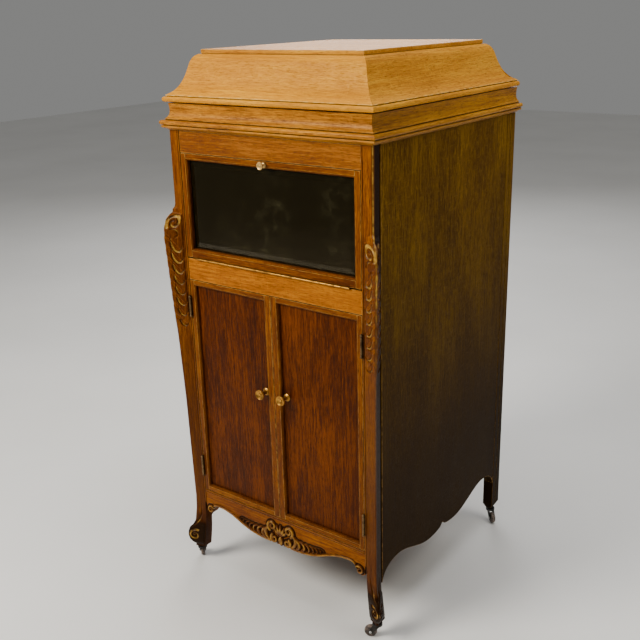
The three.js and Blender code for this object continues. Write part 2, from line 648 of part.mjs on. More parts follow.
function buildMotor() {
  const { x: plateX, y: plateY, bottom: bottomZ, top: topZ } = PLATES;
  const shaftHoles = [BARREL.x, SPINDLE.x].map(
    (x) => rod([x, SPINDLE.y, topZ - 10], [x, SPINDLE.y, MOTOR_BOARD_TOP], ARBOR.hole, 12),
  );
  const top = block(plateX, plateY, [topZ, MOTOR_BOARD_TOP - THIN_BOARD - GAP]);
  const bottom = block(plateX, plateY, bottomZ);
  const corners = [plateX[0] + 8, plateX[1] - 8].flatMap((x) => [plateY[0] + 8, plateY[1] - 8].map((y) => [x, y]));
  const pillars = corners.map(([x, y]) => rod([x, y, bottomZ[0] + 2], [x, y, topZ + 1.5], 5, 10));
  addPiece('motor_frame', join(cut(top, ...shaftHoles), bottom, ...pillars), IRON);

  const { teeth, pinion, depth } = GREAT_WHEEL;
  const centres = SPINDLE.x - BARREL.x;
  const pitchRadius = (centres * teeth) / (teeth + pinion);
  const wheel = flatExtrusion(gearShape(teeth, pitchRadius, depth, 0, ARBOR.bore), [955, 961.5], 4);
  const drum = collar(ARBOR.bore, BARREL.radius, [961, 996], [0, 0, 1], [0, 0, 0], 24);
  const barrel = join(wheel, drum).translate(BARREL.x, BARREL.y, 0);
  addPiece('spring_barrel', barrel, BRASS);

  const crown = [collar(4, CROWN.radius + 4, [999, 1002.6], [0, 0, 1], [0, 0, 0], 24)];
  crown.push(rod([0, 0, ARBOR.bottom], [0, 0, 1049], 4.6, 12));
  for (let tooth = 0; tooth < CROWN.teeth; tooth += 1) {
    const bar = block([CROWN.radius - 4, CROWN.radius + 3.9], [-0.9, 0.9], [1002, 1004.8]);
    crown.push(bar.rotateZ(((tooth + 0.5) * 2 * Math.PI) / CROWN.teeth));
  }
  addPiece('winding_wheel', join(...crown).translate(BARREL.x, BARREL.y, 0), BRASS);

  const smallGear = gearShape(pinion, centres - pitchRadius, depth, Math.PI + Math.PI / pinion, 0);
  const wormWheel = gearShape(WORM.wheelTeeth, WORM.x - SPINDLE.x - WORM.radius - 1.1, 0.7, 0, 0);
  const spindle = join(
    rod([0, 0, ARBOR.bottom], [0, 0, SPINDLE.top], SPINDLE.radius, 12),
    flatExtrusion(smallGear, [954, 962.5]),
    flatExtrusion(wormWheel, [WORM.z - 3, WORM.z + 3]),
  );
  addPiece('turntable_spindle', spindle.translate(SPINDLE.x, SPINDLE.y, 0), STEEL);

  const { shaft, ends, worm, hub, disc, discRadius, weights, ball: weightRadius } = GOVERNOR;
  const profile = [
    [0, ends[0]], [shaft, ends[0]], [shaft, worm[0]], [WORM.radius, worm[0]], [WORM.radius, worm[1]],
    [shaft, worm[1]], [shaft, disc[0]], [discRadius, disc[0]], [discRadius, disc[1]], [shaft, disc[1]],
    [shaft, ends[1]], [0, ends[1]],
  ];
  const parts = [turned(profile, [0, 1, 0], [0, 0, 0], 16), collar(1.5, 6, hub, [0, 1, 0], [0, 0, 0], 12)];
  for (let weight = 0; weight < weights; weight += 1) {
    const turn = (weight * 2 * Math.PI) / weights;
    parts.push(block([-1.6, 1.6], [hub[0] + 2, disc[0] + 1], [5, 6]).rotateY(turn));
    parts.push(ball([0, (hub[1] + disc[0]) / 2 - 1, 9], weightRadius).rotateY(turn));
  }
  addPiece('governor', join(...parts).translate(WORM.x, 0, WORM.z), BRASS);
}

function buildCrank() {
  const { y, z, radius, throw: reach, armX, endX } = CRANK;
  const inner = BARREL.x - CROWN.radius;
  const pinionShape = gearShape(CROWN.pinion, CROWN.pinionRadius, 1.05, 0, 0);
  const pinion = flatExtrusion(pinionShape, [-3.8, 3.8]).rotateY(Math.PI / 2).translate(inner, y, z);
  const crank = join(
    pinion,
    rod([inner, y, z], [armX, y, z], radius, 12),
    ball([armX, y, z], radius + 0.6, 10),
    rod([armX, y, z], [armX, y, z - reach], radius, 12),
    ball([armX, y, z - reach], radius + 0.6, 10),
    rod([armX, y, z - reach], [endX + 4, y, z - reach], 3.2, 10),
  );
  addPiece('crank', crank, NICKEL);

  const bore = 3.6;
  const start = armX - 6.5;
  const grip = [
    [0, 0], [8, 1], [11.6, 6], [11, 16], [13, 36], [12.5, 60], [9.6, 74],
    [8, start - endX], [bore, start - endX], [bore, 3.4], [0, 3.4],
  ];
  addPiece('crank_handle', turned(grip, [1, 0, 0], [endX, y, z - reach], 18), EBONY);

  const plate = join(
    collar(6, 17, [0, 2.6], [-1, 0, 0], [-OUTER_X - GAP, y, z], 24),
    collar(6, 9.1, [-15, 1], [-1, 0, 0], [-OUTER_X - GAP, y, z], 24),
  );
  addPiece('crank_escutcheon', plate, BRASS);
}

// ---------------------------------------------------------------- deck
const BRAKE_AT = [124.5, 155.5];
const SPEED_AT = [-150, 92];

function buildDeck() {
  const inside = HALF_WIDTH - CORNICE_INNER - GAP;
  const board = block([-inside, inside], [CORNICE_INNER + GAP, DEPTH - BACK_PANEL_THICKNESS - 2 * GAP],
    [MOTOR_BOARD_TOP - THIN_BOARD, MOTOR_BOARD_TOP]);
  const hole = ({ x, y }, radius, sides) => {
    return rod([x, y, MOTOR_BOARD_TOP - THIN_BOARD - 10], [x, y, MOTOR_BOARD_TOP + 8], radius, sides);
  };
  addPiece('motor_board', cut(board, hole(TONEARM, ELBOW.bore + 6, 24), hole(SPINDLE, 6, 16)), OAK_LIGHT);

  const [low, high] = PLATTER.z;
  const bore = SPINDLE.radius + GAP;
  const profile = [
    [bore, high], [bore, low - 3], [18, low - 3], [24, high - 4], [PLATTER.radius - 5, high - 4],
    [PLATTER.radius - 5, low], [PLATTER.radius, low], [PLATTER.radius, high - 1.5],
    [PLATTER.radius - 1.5, high], [bore, high],
  ];
  addPiece('turntable', turned(profile, [0, 0, 1], [SPINDLE.x, SPINDLE.y, 0], 40), NICKEL);

  const z = MOTOR_BOARD_TOP + GAP;
  const brake = new THREE.Group();
  brake.position.set(...BRAKE_AT, 0);
  cabinet.add(brake);
  const brakeArm = join(
    rod([0, 0, z], [0, 0, z + 5], 8, 16),
    block([-36, 0], [-3.5, 3.5], [z + 1, z + 4]).rotateZ(THREE.MathUtils.degToRad(25.2)),
    rod([-33, -15.5, z + 1], [-33, -15.5, z + 20], 1.9, 10),
    block([0, 40], [-4, 4], [z + 1, z + 4]).rotateZ(THREE.MathUtils.degToRad(-50)),
    rod([25.7, -30.6, z + 2], [25.7, -30.6, z + 12], 4.5, 12),
  );
  addPiece('brake_lever', brakeArm, NICKEL, brake);

  const speed = new THREE.Group();
  speed.position.set(...SPEED_AT, 0);
  cabinet.add(speed);
  const speedArm = join(
    rod([0, 0, z], [0, 0, z + 4], 12, 18),
    rod([0, 0, z], [0, 0, z + 11], 6, 14),
    block([0, 34], [-2, 2], [z + 1, z + 4]).rotateZ(THREE.MathUtils.degToRad(-60)),
  );
  addPiece('speed_lever', speedArm, NICKEL, speed);
}

// ---------------------------------------------------------------- tonearm
// Drawn with the pivot at its own origin and the arm along -y, then turned outwards to its rest.
function buildTonearm() {
  const group = new THREE.Group();
  group.position.set(TONEARM.x, TONEARM.y, 0);
  group.rotation.z = TONEARM.swing;
  cabinet.add(group);

  const { length, z } = TONEARM;
  const stations = [
    { at: [0, 0, MOTOR_BOARD_TOP + 17 + GAP], along: [0, 0, 1], radius: 28 },
    { at: [0, 0, MOTOR_BOARD_TOP + 26], along: [0, 0, 1], radius: 27 },
    { at: [0, 0, MOTOR_BOARD_TOP + 32], along: [0, 0, 1], radius: 21 },
    { at: [0, -2, z - 16], along: [0, -0.35, 1], radius: 20 },
    { at: [0, -12, z - 2], along: [0, -1, 0.7], radius: 19 },
    { at: [0, -32, z + 3], along: [0, -1, 0], radius: 18 },
    { at: [0, -length / 2, z + 1.5], along: [0, -1, 0], radius: 14 },
    { at: [0, -length + 14, z], along: [0, -1, 0], radius: 10.5 },
    { at: [2, -length + 3, z], along: [0.5, -1, 0], radius: 10 },
    { at: [8, -length - 3, z], along: [1, -0.35, 0], radius: 10 },
    { at: [14, -length - 4, z], along: [1, 0, 0], radius: 10 },
  ];
  const rings = stations.map(({ at, along, radius }) => {
    const normal = new THREE.Vector3(...along).normalize();
    const level = new THREE.Vector3(normal.y, -normal.x, 0);
    const across = level.lengthSq() < 1e-6 ? new THREE.Vector3(-1, 0, 0) : level.normalize();
    const other = new THREE.Vector3().crossVectors(normal, across);
    const ring = [];
    for (let k = 0; k < 14; k += 1) {
      const angle = (k * 2 * Math.PI) / 14;
      const point = new THREE.Vector3(...at);
      point.addScaledVector(across, radius * Math.cos(angle));
      point.addScaledVector(other, radius * Math.sin(angle));
      ring.push(point.toArray());
    }
    return ring;
  });
  const outline = rings[0].map(([x, y]) => new THREE.Vector2(x, y));
  addPiece('tonearm', loft(rings, outline), NICKEL, group);

  const centre = [0, -length - 4, z];
  const box = join(
    turned(
      [[0, 14.5], [11, 14.5], [11, 17], [27, 18], [27, 29], [23, 31], [22, 30], [0, 29.5]],
      [1, 0, 0], centre, 24,
    ),
    block([21, 25], [centre[1] - 3, centre[1] + 3], [z - 29, z - 20]),
    rod([23, centre[1], z - 22], [23, centre[1] - 5, z - 33.5], 0.9, 8),
  );
  addPiece('soundbox', box, NICKEL, group);
}

buildCase();
buildCornice();
buildLid();
buildDoors();
buildCasters();
buildHorn();
buildMotor();
buildCrank();
buildDeck();
buildTonearm();

// The part's origin is the bottom centre of its bounding box.
const phonograph = new THREE.Group();
phonograph.add(cabinet);
phonograph.updateMatrixWorld(true);
const bounds = new THREE.Box3().setFromObject(phonograph);
const centre = bounds.getCenter(new THREE.Vector3());
cabinet.position.set(-centre.x, -centre.y, -bounds.min.z);
phonograph.updateMatrixWorld(true);

export default phonograph;
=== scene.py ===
"""Looks of an upright wind-up phonograph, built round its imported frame.

Shapes are worked out in millimetres in the cabinet's own frame: x = 0 on its centre plane,
y = 0 on the case's front face with the room towards -y, and z = 0 on the floor. make_piece()
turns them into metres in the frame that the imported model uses.
"""
import json
import math

import bmesh
import bpy
import numpy as np
from mathutils import Matrix, Vector

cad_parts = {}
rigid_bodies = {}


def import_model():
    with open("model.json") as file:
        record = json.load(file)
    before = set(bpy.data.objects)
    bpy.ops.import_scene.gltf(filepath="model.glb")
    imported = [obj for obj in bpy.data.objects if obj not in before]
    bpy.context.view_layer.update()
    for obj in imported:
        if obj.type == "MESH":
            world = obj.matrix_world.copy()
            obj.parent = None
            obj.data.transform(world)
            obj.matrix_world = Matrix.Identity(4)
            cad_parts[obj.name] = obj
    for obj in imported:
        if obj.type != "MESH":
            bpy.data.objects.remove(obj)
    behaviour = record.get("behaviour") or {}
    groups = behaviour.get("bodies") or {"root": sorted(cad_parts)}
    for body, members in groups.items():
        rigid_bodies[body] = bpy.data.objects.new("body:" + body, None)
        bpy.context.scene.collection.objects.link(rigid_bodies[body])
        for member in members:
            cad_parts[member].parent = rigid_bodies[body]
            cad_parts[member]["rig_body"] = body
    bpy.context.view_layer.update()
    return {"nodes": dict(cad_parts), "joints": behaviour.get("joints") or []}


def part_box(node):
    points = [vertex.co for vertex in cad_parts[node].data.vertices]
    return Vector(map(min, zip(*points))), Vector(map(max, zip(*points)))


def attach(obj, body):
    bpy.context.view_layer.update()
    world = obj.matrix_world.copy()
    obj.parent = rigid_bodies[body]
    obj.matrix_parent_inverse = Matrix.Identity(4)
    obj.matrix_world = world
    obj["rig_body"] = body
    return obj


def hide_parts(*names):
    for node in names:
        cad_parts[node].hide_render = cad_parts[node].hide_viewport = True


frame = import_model()

# ------------------------------------------------------------------ the cabinet's frame
MM = 0.001
POST_FACE = 0.5  # the side boards stand this far inside the posts' outer faces
RAIL_SETBACK = 1.0  # the rails stand this far behind the case's front face


def cabinet_origin():
    left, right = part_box("side_panel_left"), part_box("side_panel_right")
    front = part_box("top_rail")[0].y - RAIL_SETBACK * MM
    return np.array([(left[0].x + right[1].x) / 2, front, 0.0])


ORIGIN = cabinet_origin()


def cabinet_box(node):
    """A node's lowest and highest corners, in cabinet millimetres."""
    low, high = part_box(node)
    return (np.array(low) - ORIGIN) / MM, (np.array(high) - ORIGIN) / MM


def joint_named(name):
    """A joint of the record, and the point on its axis in cabinet millimetres."""
    joint = next(j for j in frame["joints"] if j["name"] == name)
    return joint, (np.array(joint["pos_m"]) - ORIGIN) / MM


HALF = cabinet_box("side_panel_right")[1][0] + POST_FACE
DEPTH = cabinet_box("back_leg_left")[1][1]
TOP_RAIL = cabinet_box("top_rail")
MID_RAIL = cabinet_box("mid_rail")
CORNICE_Z = [corner[2] for corner in cabinet_box("cornice_front")]
LID_Z = cabinet_box("lid_front_board")[0][2]
LID_TOP = cabinet_box("lid_top_board")
DECK_Z = cabinet_box("motor_board")[1][2]
OPENING_HALF = cabinet_box("apron")[1][0]
FOOT_Z = cabinet_box("front_post_left")[0][2]
GAP = 0.3


# ------------------------------------------------------------------ materials
class Finish:
    """A material being built: each method adds one node and returns its output."""

    def __init__(self, name):
        self.material = bpy.data.materials.new(name)
        self.material.use_nodes = True
        self.tree = self.material.node_tree
        self.shader = self.tree.nodes["Principled BSDF"]

    def put(self, socket, value):
        if isinstance(value, bpy.types.NodeSocket):
            self.tree.links.new(value, socket)
        else:
            socket.default_value = value

    def node(self, kind, inputs, **settings):
        made = self.tree.nodes.new(kind)
        for key, value in settings.items():
            setattr(made, key, value)
        for key, value in inputs.items():
            self.put(made.inputs[key], value)
        return made

    def place(self, turn=(0, 0, 0), scale=(1, 1, 1), shift=(0, 0, 0)):
        where = self.node("ShaderNodeTexCoord", {}).outputs["Object"]
        turned = self.node("ShaderNodeMapping", {"Vector": where, "Rotation": turn}).outputs[0]
        inputs = {"Vector": turned, "Scale": scale, "Location": shift}
        return self.node("ShaderNodeMapping", inputs).outputs[0]

    def stretch(self, vector, scale):
        return self.node("ShaderNodeMapping", {"Vector": vector, "Scale": scale}).outputs[0]

    def noise(self, vector, scale=1.0, detail=2.0, roughness=0.5, distortion=0.0):
        inputs = {"Vector": vector, "Scale": scale, "Detail": detail,
                  "Roughness": roughness, "Distortion": distortion}
        return self.node("ShaderNodeTexNoise", inputs).outputs[0]

    def calc(self, operation, a, b=0.0, clamp=False):
        made = self.node("ShaderNodeMath", {0: a, 1: b}, operation=operation, use_clamp=clamp)
        return made.outputs[0]

    def times(self, a, b):
        return self.calc("MULTIPLY", a, b)

    def plus(self, a, b):
        return self.calc("ADD", a, b)

    def mask(self, value, low, high, to_low=0.0, to_high=1.0):
        inputs = {"Value": value, "From Min": low, "From Max": high,
                  "To Min": to_low, "To Max": to_high}
        made = self.node("ShaderNodeMapRange", inputs, interpolation_type="SMOOTHSTEP")
        return made.outputs[0]

    def mix(self, amount, a, b, blend="MIX"):
        made = self.node("ShaderNodeMix", {}, data_type="RGBA", blend_type=blend)
        self.put(made.inputs[0], amount)
        self.put(made.inputs[6], colour(a))
        self.put(made.inputs[7], colour(b))
        return made.outputs[2]

    def ramp(self, value, stops):
        made = self.node("ShaderNodeValToRGB", {"Fac": value})
        elements = made.color_ramp.elements
        while len(elements) < len(stops):
            elements.new(0.5)
        for element, (at, shade) in zip(elements, stops):
            element.position = at
            element.color = colour(shade)
        return made.outputs[0]

    def attribute(self, name):
        return self.node("ShaderNodeAttribute", {}, attribute_name=name).outputs["Fac"]

    def crevices(self, reach, samples=4):
        """1 in the open, falling to 0 in corners and gaps."""
        made = self.node("ShaderNodeAmbientOcclusion", {"Distance": reach}, samples=samples)
        return made.outputs["AO"]

    def bump(self, height, strength, distance):
        inputs = {"Height": height, "Strength": strength, "Distance": distance}
        return self.node("ShaderNodeBump", inputs).outputs[0]

    def surface(self, **inputs):
        for key, value in inputs.items():
            self.put(self.shader.inputs[key.replace("_", " ")], value)
        return self.material


def colour(value):
    if isinstance(value, tuple) and len(value) == 3:
        return (*value, 1.0)
    return value


def scaled(shade, factor):
    return tuple(factor * c for c in shade)


# Turns that bring each axis of the frame onto the texture's own z, along which grain runs.
GRAIN_TURN = {"x": (0, math.pi / 2, 0), "y": (math.pi / 2, 0, 0), "z": (0, 0, 0)}


def wood(name, grain, dark, mid, light, shift=(0, 0, 0), flecks=0.5, dashes=0.0, gloss=0.40,
         coat=0.05, shine=0.34, pitted=0.6, floor_shade=0.25, polish=0.0, glaze=0.0,
         wear_and_highlight=(0.52, 0.27, 0.06), hollow_shade=0.8, figure=1.0):
    """Varnished oak with its grain along one axis.

    flecks and dashes are ray figure across and along the grain, pitted the depth of the pores,
    figure the contrast of the streaks, fade the painted shade that darkens it towards the floor,
    dirt the painted shade of corners, gaps and the carving's cut-away ground, wear the colour of
    rubbed edges and of painted highlights, and glaze and polish the stain and shine that carved
    parts take."""
    f = Finish(name)
    where = f.place(GRAIN_TURN[grain], shift=shift)
    wobble = f.noise(f.stretch(where, (9, 9, 2.5)), detail=2)
    bent = f.node("ShaderNodeVectorMath", {0: where, 1: f.mix(0.0045, (0, 0, 0), wobble)},
                  operation="ADD").outputs[0]
    broad = f.noise(f.stretch(bent, (16, 16, 4.0)), detail=3)
    streak = f.noise(f.stretch(bent, (230, 230, 11)), detail=4, roughness=0.6)
    fine = f.noise(f.stretch(bent, (760, 760, 46)), detail=3, roughness=0.6)
    pores = f.mask(f.noise(f.stretch(bent, (1150, 1150, 75)), detail=1), 0.57, 0.68)
    rays = f.noise(f.stretch(bent, (60, 60, 300)), detail=2, distortion=0.9)
    rays = f.mask(rays, 0.58, 0.68)
    ticks = f.mask(f.noise(f.stretch(bent, (310, 310, 52)), detail=2, roughness=0.7), 0.53, 0.64)

    level = f.plus(f.times(streak, 0.36), f.times(fine, 0.36))
    level = f.plus(level, f.times(broad, 0.28))
    level = f.mask(level, 0.5 - 0.16 / figure, 0.5 + 0.16 / figure)
    tint = f.ramp(level, [(0.0, dark), (0.5, mid), (1.0, light)])
    tint = f.mix(f.times(rays, 0.45 * flecks), tint, light)
    tint = f.mix(f.times(ticks, 0.55 * dashes), tint, light)
    tint = f.mix(f.times(pores, pitted), tint, scaled(dark, 0.35))
    patches = f.noise(f.stretch(where, (3.2, 3.2, 1.8)), detail=2)
    tint = f.mix(f.mask(patches, 0.35, 0.75, 0.0, 0.35), tint, dark)

    # Painted shade: the wood darkens towards the floor, where less light falls.
    height_up = f.node("ShaderNodeSeparateXYZ", {0: f.place()}).outputs["Z"]
    tint = f.mix(f.mask(height_up, 0.25, 1.1, floor_shade, 0.0), tint, scaled(dark, 0.25))

    # This attribute marks rubbed edges and painted highlights above zero, and painted shade below it.
    relief = f.attribute("wear_and_highlight")
    carved = f.mask(f.calc("ABSOLUTE", relief), 0.01, 0.12, 0.0, glaze)
    tint = f.mix(carved, tint, scaled(dark, 0.5))
    scuffs = f.mask(f.noise(where, 85, detail=3), 0.38, 0.62, 0.25, 1.0)
    # Crests and edges are painted pale: rubbing, and painted highlight.
    worn_and_highlit = f.times(f.mask(relief, 0.25, 1.0), f.times(scuffs, 0.78))
    tint = f.mix(worn_and_highlit, tint, wear_and_highlight)
    # Painted shade: the carving's cut-away ground is darkened.
    sunk = f.mask(f.times(relief, -1.0), 0.0, 1.0)
    tint = f.mix(f.times(sunk, hollow_shade), tint, scaled(dark, 0.08))
    # Painted shade in corners, gaps and under overhangs, from an occlusion node.
    shade = f.mask(f.crevices(0.020), 0.3, 0.92, hollow_shade, 0.0)
    tint = f.mix(shade, tint, scaled(dark, 0.2))

    height = f.times(fine, 0.35)
    height = f.calc("SUBTRACT", height, f.times(pores, 0.8))
    height = f.plus(height, f.times(streak, 0.4))
    ripple = f.noise(where, 26, detail=2)
    height = f.plus(height, f.times(ripple, 0.7))
    rough = f.plus(gloss, f.times(streak, 0.14))
    rough = f.plus(rough, f.times(pores, 0.15))
    rough = f.calc("SUBTRACT", rough, f.times(rays, 0.06))
    crest = f.mask(relief, 0.02, 0.4, coat, coat + polish)
    return f.surface(
        Base_Color=tint, Roughness=rough, Specular_IOR_Level=shine, Coat_Weight=crest,
        Specular_Tint=(1.0, 0.62, 0.26, 1.0), Coat_Roughness=0.3, Coat_Tint=(1.0, 0.8, 0.5, 1.0),
        Normal=f.bump(height, 0.45, 0.0006),
    )


def metal(name, base, tarnish, gloss=0.25, spots=0.6, scratch=(400, 400, 400)):
    """Old metal: tarnish in broad clouds and corners, fine scratches, brighter edges."""
    f = Finish(name)
    where = f.place()
    cloud = f.mask(f.noise(where, 60, detail=4, roughness=0.65), 0.42, 0.66)
    speck = f.mask(f.noise(where, 900, detail=2), 0.6, 0.72)
    lines = f.noise(f.stretch(where, scratch), detail=3)
    tint = f.mix(f.times(cloud, spots), base, tarnish)
    tint = f.mix(f.times(speck, 0.5 * spots), tint, scaled(tarnish, 0.4))
    shade = f.mask(f.crevices(0.006), 0.3, 0.95, 0.7, 0.0)
    tint = f.mix(shade, tint, scaled(tarnish, 0.3))
    edge = f.mask(f.attribute("wear_and_highlight"), 0.3, 1.0, 0.0, 0.55)
    tint = f.mix(edge, tint, tuple(min(1.0, 1.25 * c) for c in base))
    rough = f.plus(gloss, f.times(cloud, 0.22))
    rough = f.plus(rough, f.times(lines, 0.12))
    height = f.plus(lines, f.times(cloud, 0.8))
    return f.surface(
        Base_Color=tint, Metallic=1.0, Roughness=rough, Normal=f.bump(height, 0.25, 0.0002),
    )


def glass():
    """A slightly dusty pane painted mostly dark, as painted shade of the unlit inside behind it:
    partly clear, with a plain reflection on top.
    """
    f = Finish("bevelled_glass")
    where = f.place()
    dust = f.noise(where, 38, detail=5, roughness=0.7)
    smears = f.noise(f.stretch(where, (6, 6, 2)), detail=3, distortion=0.6)
    haze = f.times(f.mask(dust, 0.45, 0.8), f.mask(smears, 0.35, 0.7))
    # The near-black tint, mostly opaque, is painted shade of the inside behind the glass.
    tint = f.mix(haze, (0.007, 0.005, 0.0015), (0.032, 0.028, 0.012))
    waves = f.noise(where, 5, detail=0)
    return f.surface(
        Base_Color=tint, Alpha=f.mask(smears, 0.2, 0.8, 0.72, 0.80),
        Roughness=f.mask(haze, 0, 1, 0.02, 0.10), IOR=1.4, Specular_Tint=(1.0, 0.80, 0.45, 1.0),
        Normal=f.bump(waves, 0.03, 0.001),
    )


def felt():
    f = Finish("turntable_felt")
    where = f.place()
    fuzz = f.noise(where, 1600, detail=3, roughness=0.7)
    bald = f.mask(f.noise(where, 22, detail=4), 0.45, 0.75)
    tint = f.ramp(fuzz, [(0.25, (0.012, 0.035, 0.016)), (0.75, (0.05, 0.12, 0.055))])
    tint = f.mix(f.times(bald, 0.4), tint, (0.11, 0.12, 0.06))
    return f.surface(
        Base_Color=tint, Roughness=0.95, Sheen_Weight=0.6, Sheen_Roughness=0.5,
        Normal=f.bump(fuzz, 0.9, 0.0007),
    )


def tread(name, dark, light):
    """A caster wheel: hard composition, scuffed pale where it rolls."""
    f = Finish(name)
    where = f.place()
    grit = f.noise(where, 420, detail=4, roughness=0.7)
    dust = f.mask(f.noise(where, 130, detail=3), 0.4, 0.7)
    tint = f.mix(f.times(dust, 0.75), dark, light)
    shade = f.mask(f.crevices(0.005), 0.3, 0.95, 0.8, 0.0)
    tint = f.mix(shade, tint, (0.012, 0.010, 0.009))
    rough = f.plus(0.42, f.times(grit, 0.3))
    return f.surface(Base_Color=tint, Roughness=rough, Normal=f.bump(grit, 0.5, 0.0005))


def mica():
    f = Finish("mica")
    where = f.place()
    veins = f.noise(where, 140, detail=4, distortion=1.5)
    tint = f.ramp(veins, [(0.3, (0.30, 0.26, 0.19)), (0.7, (0.52, 0.48, 0.38))])
    return f.surface(
        Base_Color=tint, Roughness=f.mask(veins, 0.3, 0.7, 0.12, 0.3),
        Coat_Weight=0.4, Normal=f.bump(veins, 0.2, 0.0003),
    )


# Each palette is an oak's tone, from the dark of the grain to the light between.
FRONT = dict(dark=(0.080, 0.014, 0.0008), mid=(0.225, 0.058, 0.0015), light=(0.42, 0.140, 0.004))
FRAME = dict(dark=(0.060, 0.010, 0.0006), mid=(0.175, 0.042, 0.0010), light=(0.34, 0.105, 0.003))
RAIL = dict(dark=(0.140, 0.030, 0.0010), mid=(0.385, 0.112, 0.0018), light=(0.58, 0.215, 0.006))
CARVING = dict(dark=(0.074, 0.013, 0.0007), mid=(0.215, 0.055, 0.0012), light=(0.40, 0.130, 0.004))
AMBER = dict(dark=(0.140, 0.034, 0.0010), mid=(0.41, 0.142, 0.0020), light=(0.62, 0.260, 0.008))
AMBER_SIDE = dict(dark=(0.120, 0.036, 0.0010), mid=(0.42, 0.165, 0.0024), light=(0.62, 0.285, 0.010))
HONEY = dict(dark=(0.34, 0.112, 0.0030), mid=(0.58, 0.232, 0.006), light=(0.78, 0.375, 0.018))
DOOR = dict(dark=(0.019, 0.0022, 0.0002), mid=(0.080, 0.0125, 0.0003), light=(0.210, 0.046, 0.0008))
OLIVE = dict(dark=(0.040, 0.0150, 0.0004), mid=(0.128, 0.0560, 0.0009), light=(0.290, 0.150, 0.004))
# The horn's wood is darkened as painted shade for the unlit inside of the case.
HORN_PAINTED_SHADE = dict(dark=(0.020, 0.009, 0.003), mid=(0.048, 0.023, 0.006), light=(0.09, 0.045, 0.015))
PLAIN = dict(dark=(0.050, 0.022, 0.006), mid=(0.105, 0.050, 0.015), light=(0.19, 0.098, 0.034))
BLACK = dict(dark=(0.010, 0.006, 0.004), mid=(0.022, 0.012, 0.008), light=(0.05, 0.028, 0.018))
# How a surface takes the light.
RUBBED = dict(coat=0.0, shine=0.18)
CUT = dict(flecks=0.2, coat=0.0, polish=0.25)
LID = dict(wear_and_highlight=(0.80, 0.52, 0.16), coat=0.0, shine=0.25, hollow_shade=0.55)
AGED = dict(coat=0.0, gloss=0.5, shine=0.08, figure=0.8)
BARE = dict(flecks=0.1, coat=0.0)

OAK_Z = wood("oak_upright", "z", **FRONT, flecks=0.35)
OAK_X = wood("oak_across", "x", **FRONT, flecks=0.45, shift=(0.31, 0.17, 0.0))
OAK_CORNICE_X = wood("oak_cornice_across", "x", **AMBER, flecks=0.6, shift=(0.7, 0.2, 0.4))
OAK_CORNICE_Y = wood("oak_cornice_deep", "y", **AMBER_SIDE, flecks=0.6, shift=(0.1, 0.9, 0.3))
CARVED = wood("oak_carved", "z", **CARVING, **{**CUT, "flecks": 0.1}, wear_and_highlight=(0.62, 0.37, 0.055),
              hollow_shade=0.96, shine=0.15, floor_shade=0.6, glaze=0.62)
APRON_X = wood("oak_apron", "x", **FRONT, **CUT, wear_and_highlight=(0.40, 0.21, 0.020), hollow_shade=0.88,
               shine=0.18, floor_shade=0.1, glaze=0.7, shift=(0.4, 0.2, 0.9))
FRAME_Z = wood("oak_door_stile", "z", **FRAME, **RUBBED, flecks=0.3, shift=(0.4, 0.6, 0.2))
FRAME_X = wood("oak_door_rail", "x", **FRAME, **RUBBED, flecks=0.35, shift=(0.2, 0.3, 0.8))
RAIL_X = wood("oak_rail", "x", **RAIL, **RUBBED, floor_shade=0.1, figure=0.7, shift=(0.5, 0.1, 0.6))
DECK_X = wood("oak_deck", "x", **HONEY, flecks=0.55, shift=(0.1, 0.7, 0.6))
LID_X = wood("oak_lid_across", "x", **HONEY, **LID, flecks=0.35, figure=0.6, pitted=0.4,
             shift=(0.9, 0.4, 0.1))
LID_Y = wood("oak_lid_deep", "y", **HONEY, **LID, flecks=0.7, figure=0.8, shift=(0.3, 0.5, 0.7))
LID_TOP_X = wood("oak_lid_top", "x", **HONEY, gloss=0.42, coat=0.08, shift=(0.2, 0.9, 0.4))
PANEL_Z = wood("oak_door_panel", "z", **DOOR, flecks=0.05, dashes=0.5, coat=0.0, shine=0.14,
               shift=(0.8, 0.1, 0.9))
SIDE_Z = wood("oak_side", "z", **OLIVE, **AGED, dashes=0.8, floor_shade=0.93, shift=(0.6, 0.8, 0.5))
LEG_Z = wood("oak_back_leg", "z", **OLIVE, **AGED, flecks=0.1, dashes=0.6, floor_shade=0.97,
             wear_and_highlight=(0.16, 0.075, 0.008), shift=(0.1, 0.3, 0.2))
INNER_X = wood("plain_across", "x", **PLAIN, **BARE, gloss=0.6)
INNER_Z = wood("plain_upright", "z", **PLAIN, **BARE, gloss=0.6)
HORN_Y = wood("horn_wood", "y", **HORN_PAINTED_SHADE, **BARE, gloss=0.5, pitted=0.1)
EBONY = wood("ebonised_wood", "x", **BLACK, wear_and_highlight=(0.16, 0.09, 0.05), gloss=0.22)
BRASS = metal("aged_brass", (0.52, 0.255, 0.045), (0.15, 0.070, 0.014), gloss=0.32, spots=0.85)
BRONZE = metal("browned_hinge_brass", (0.17, 0.105, 0.045), (0.06, 0.035, 0.018), gloss=0.36,
               spots=0.9)
PALE_BRASS = metal("rubbed_brass", (0.66, 0.43, 0.15), (0.30, 0.18, 0.05), gloss=0.34, spots=0.5)
NICKEL = metal("nickel_plate", (0.72, 0.70, 0.66), (0.38, 0.33, 0.27), gloss=0.14, spots=0.45)
STEEL = metal("steel", (0.52, 0.52, 0.51), (0.27, 0.24, 0.21), gloss=0.3)
IRON = metal("japanned_iron", (0.050, 0.046, 0.042), (0.020, 0.017, 0.015), gloss=0.42)
TREAD = tread("caster_tread", (0.055, 0.040, 0.032), (0.30, 0.22, 0.17))
GLASS = glass()
FELT = felt()
MICA = mica()


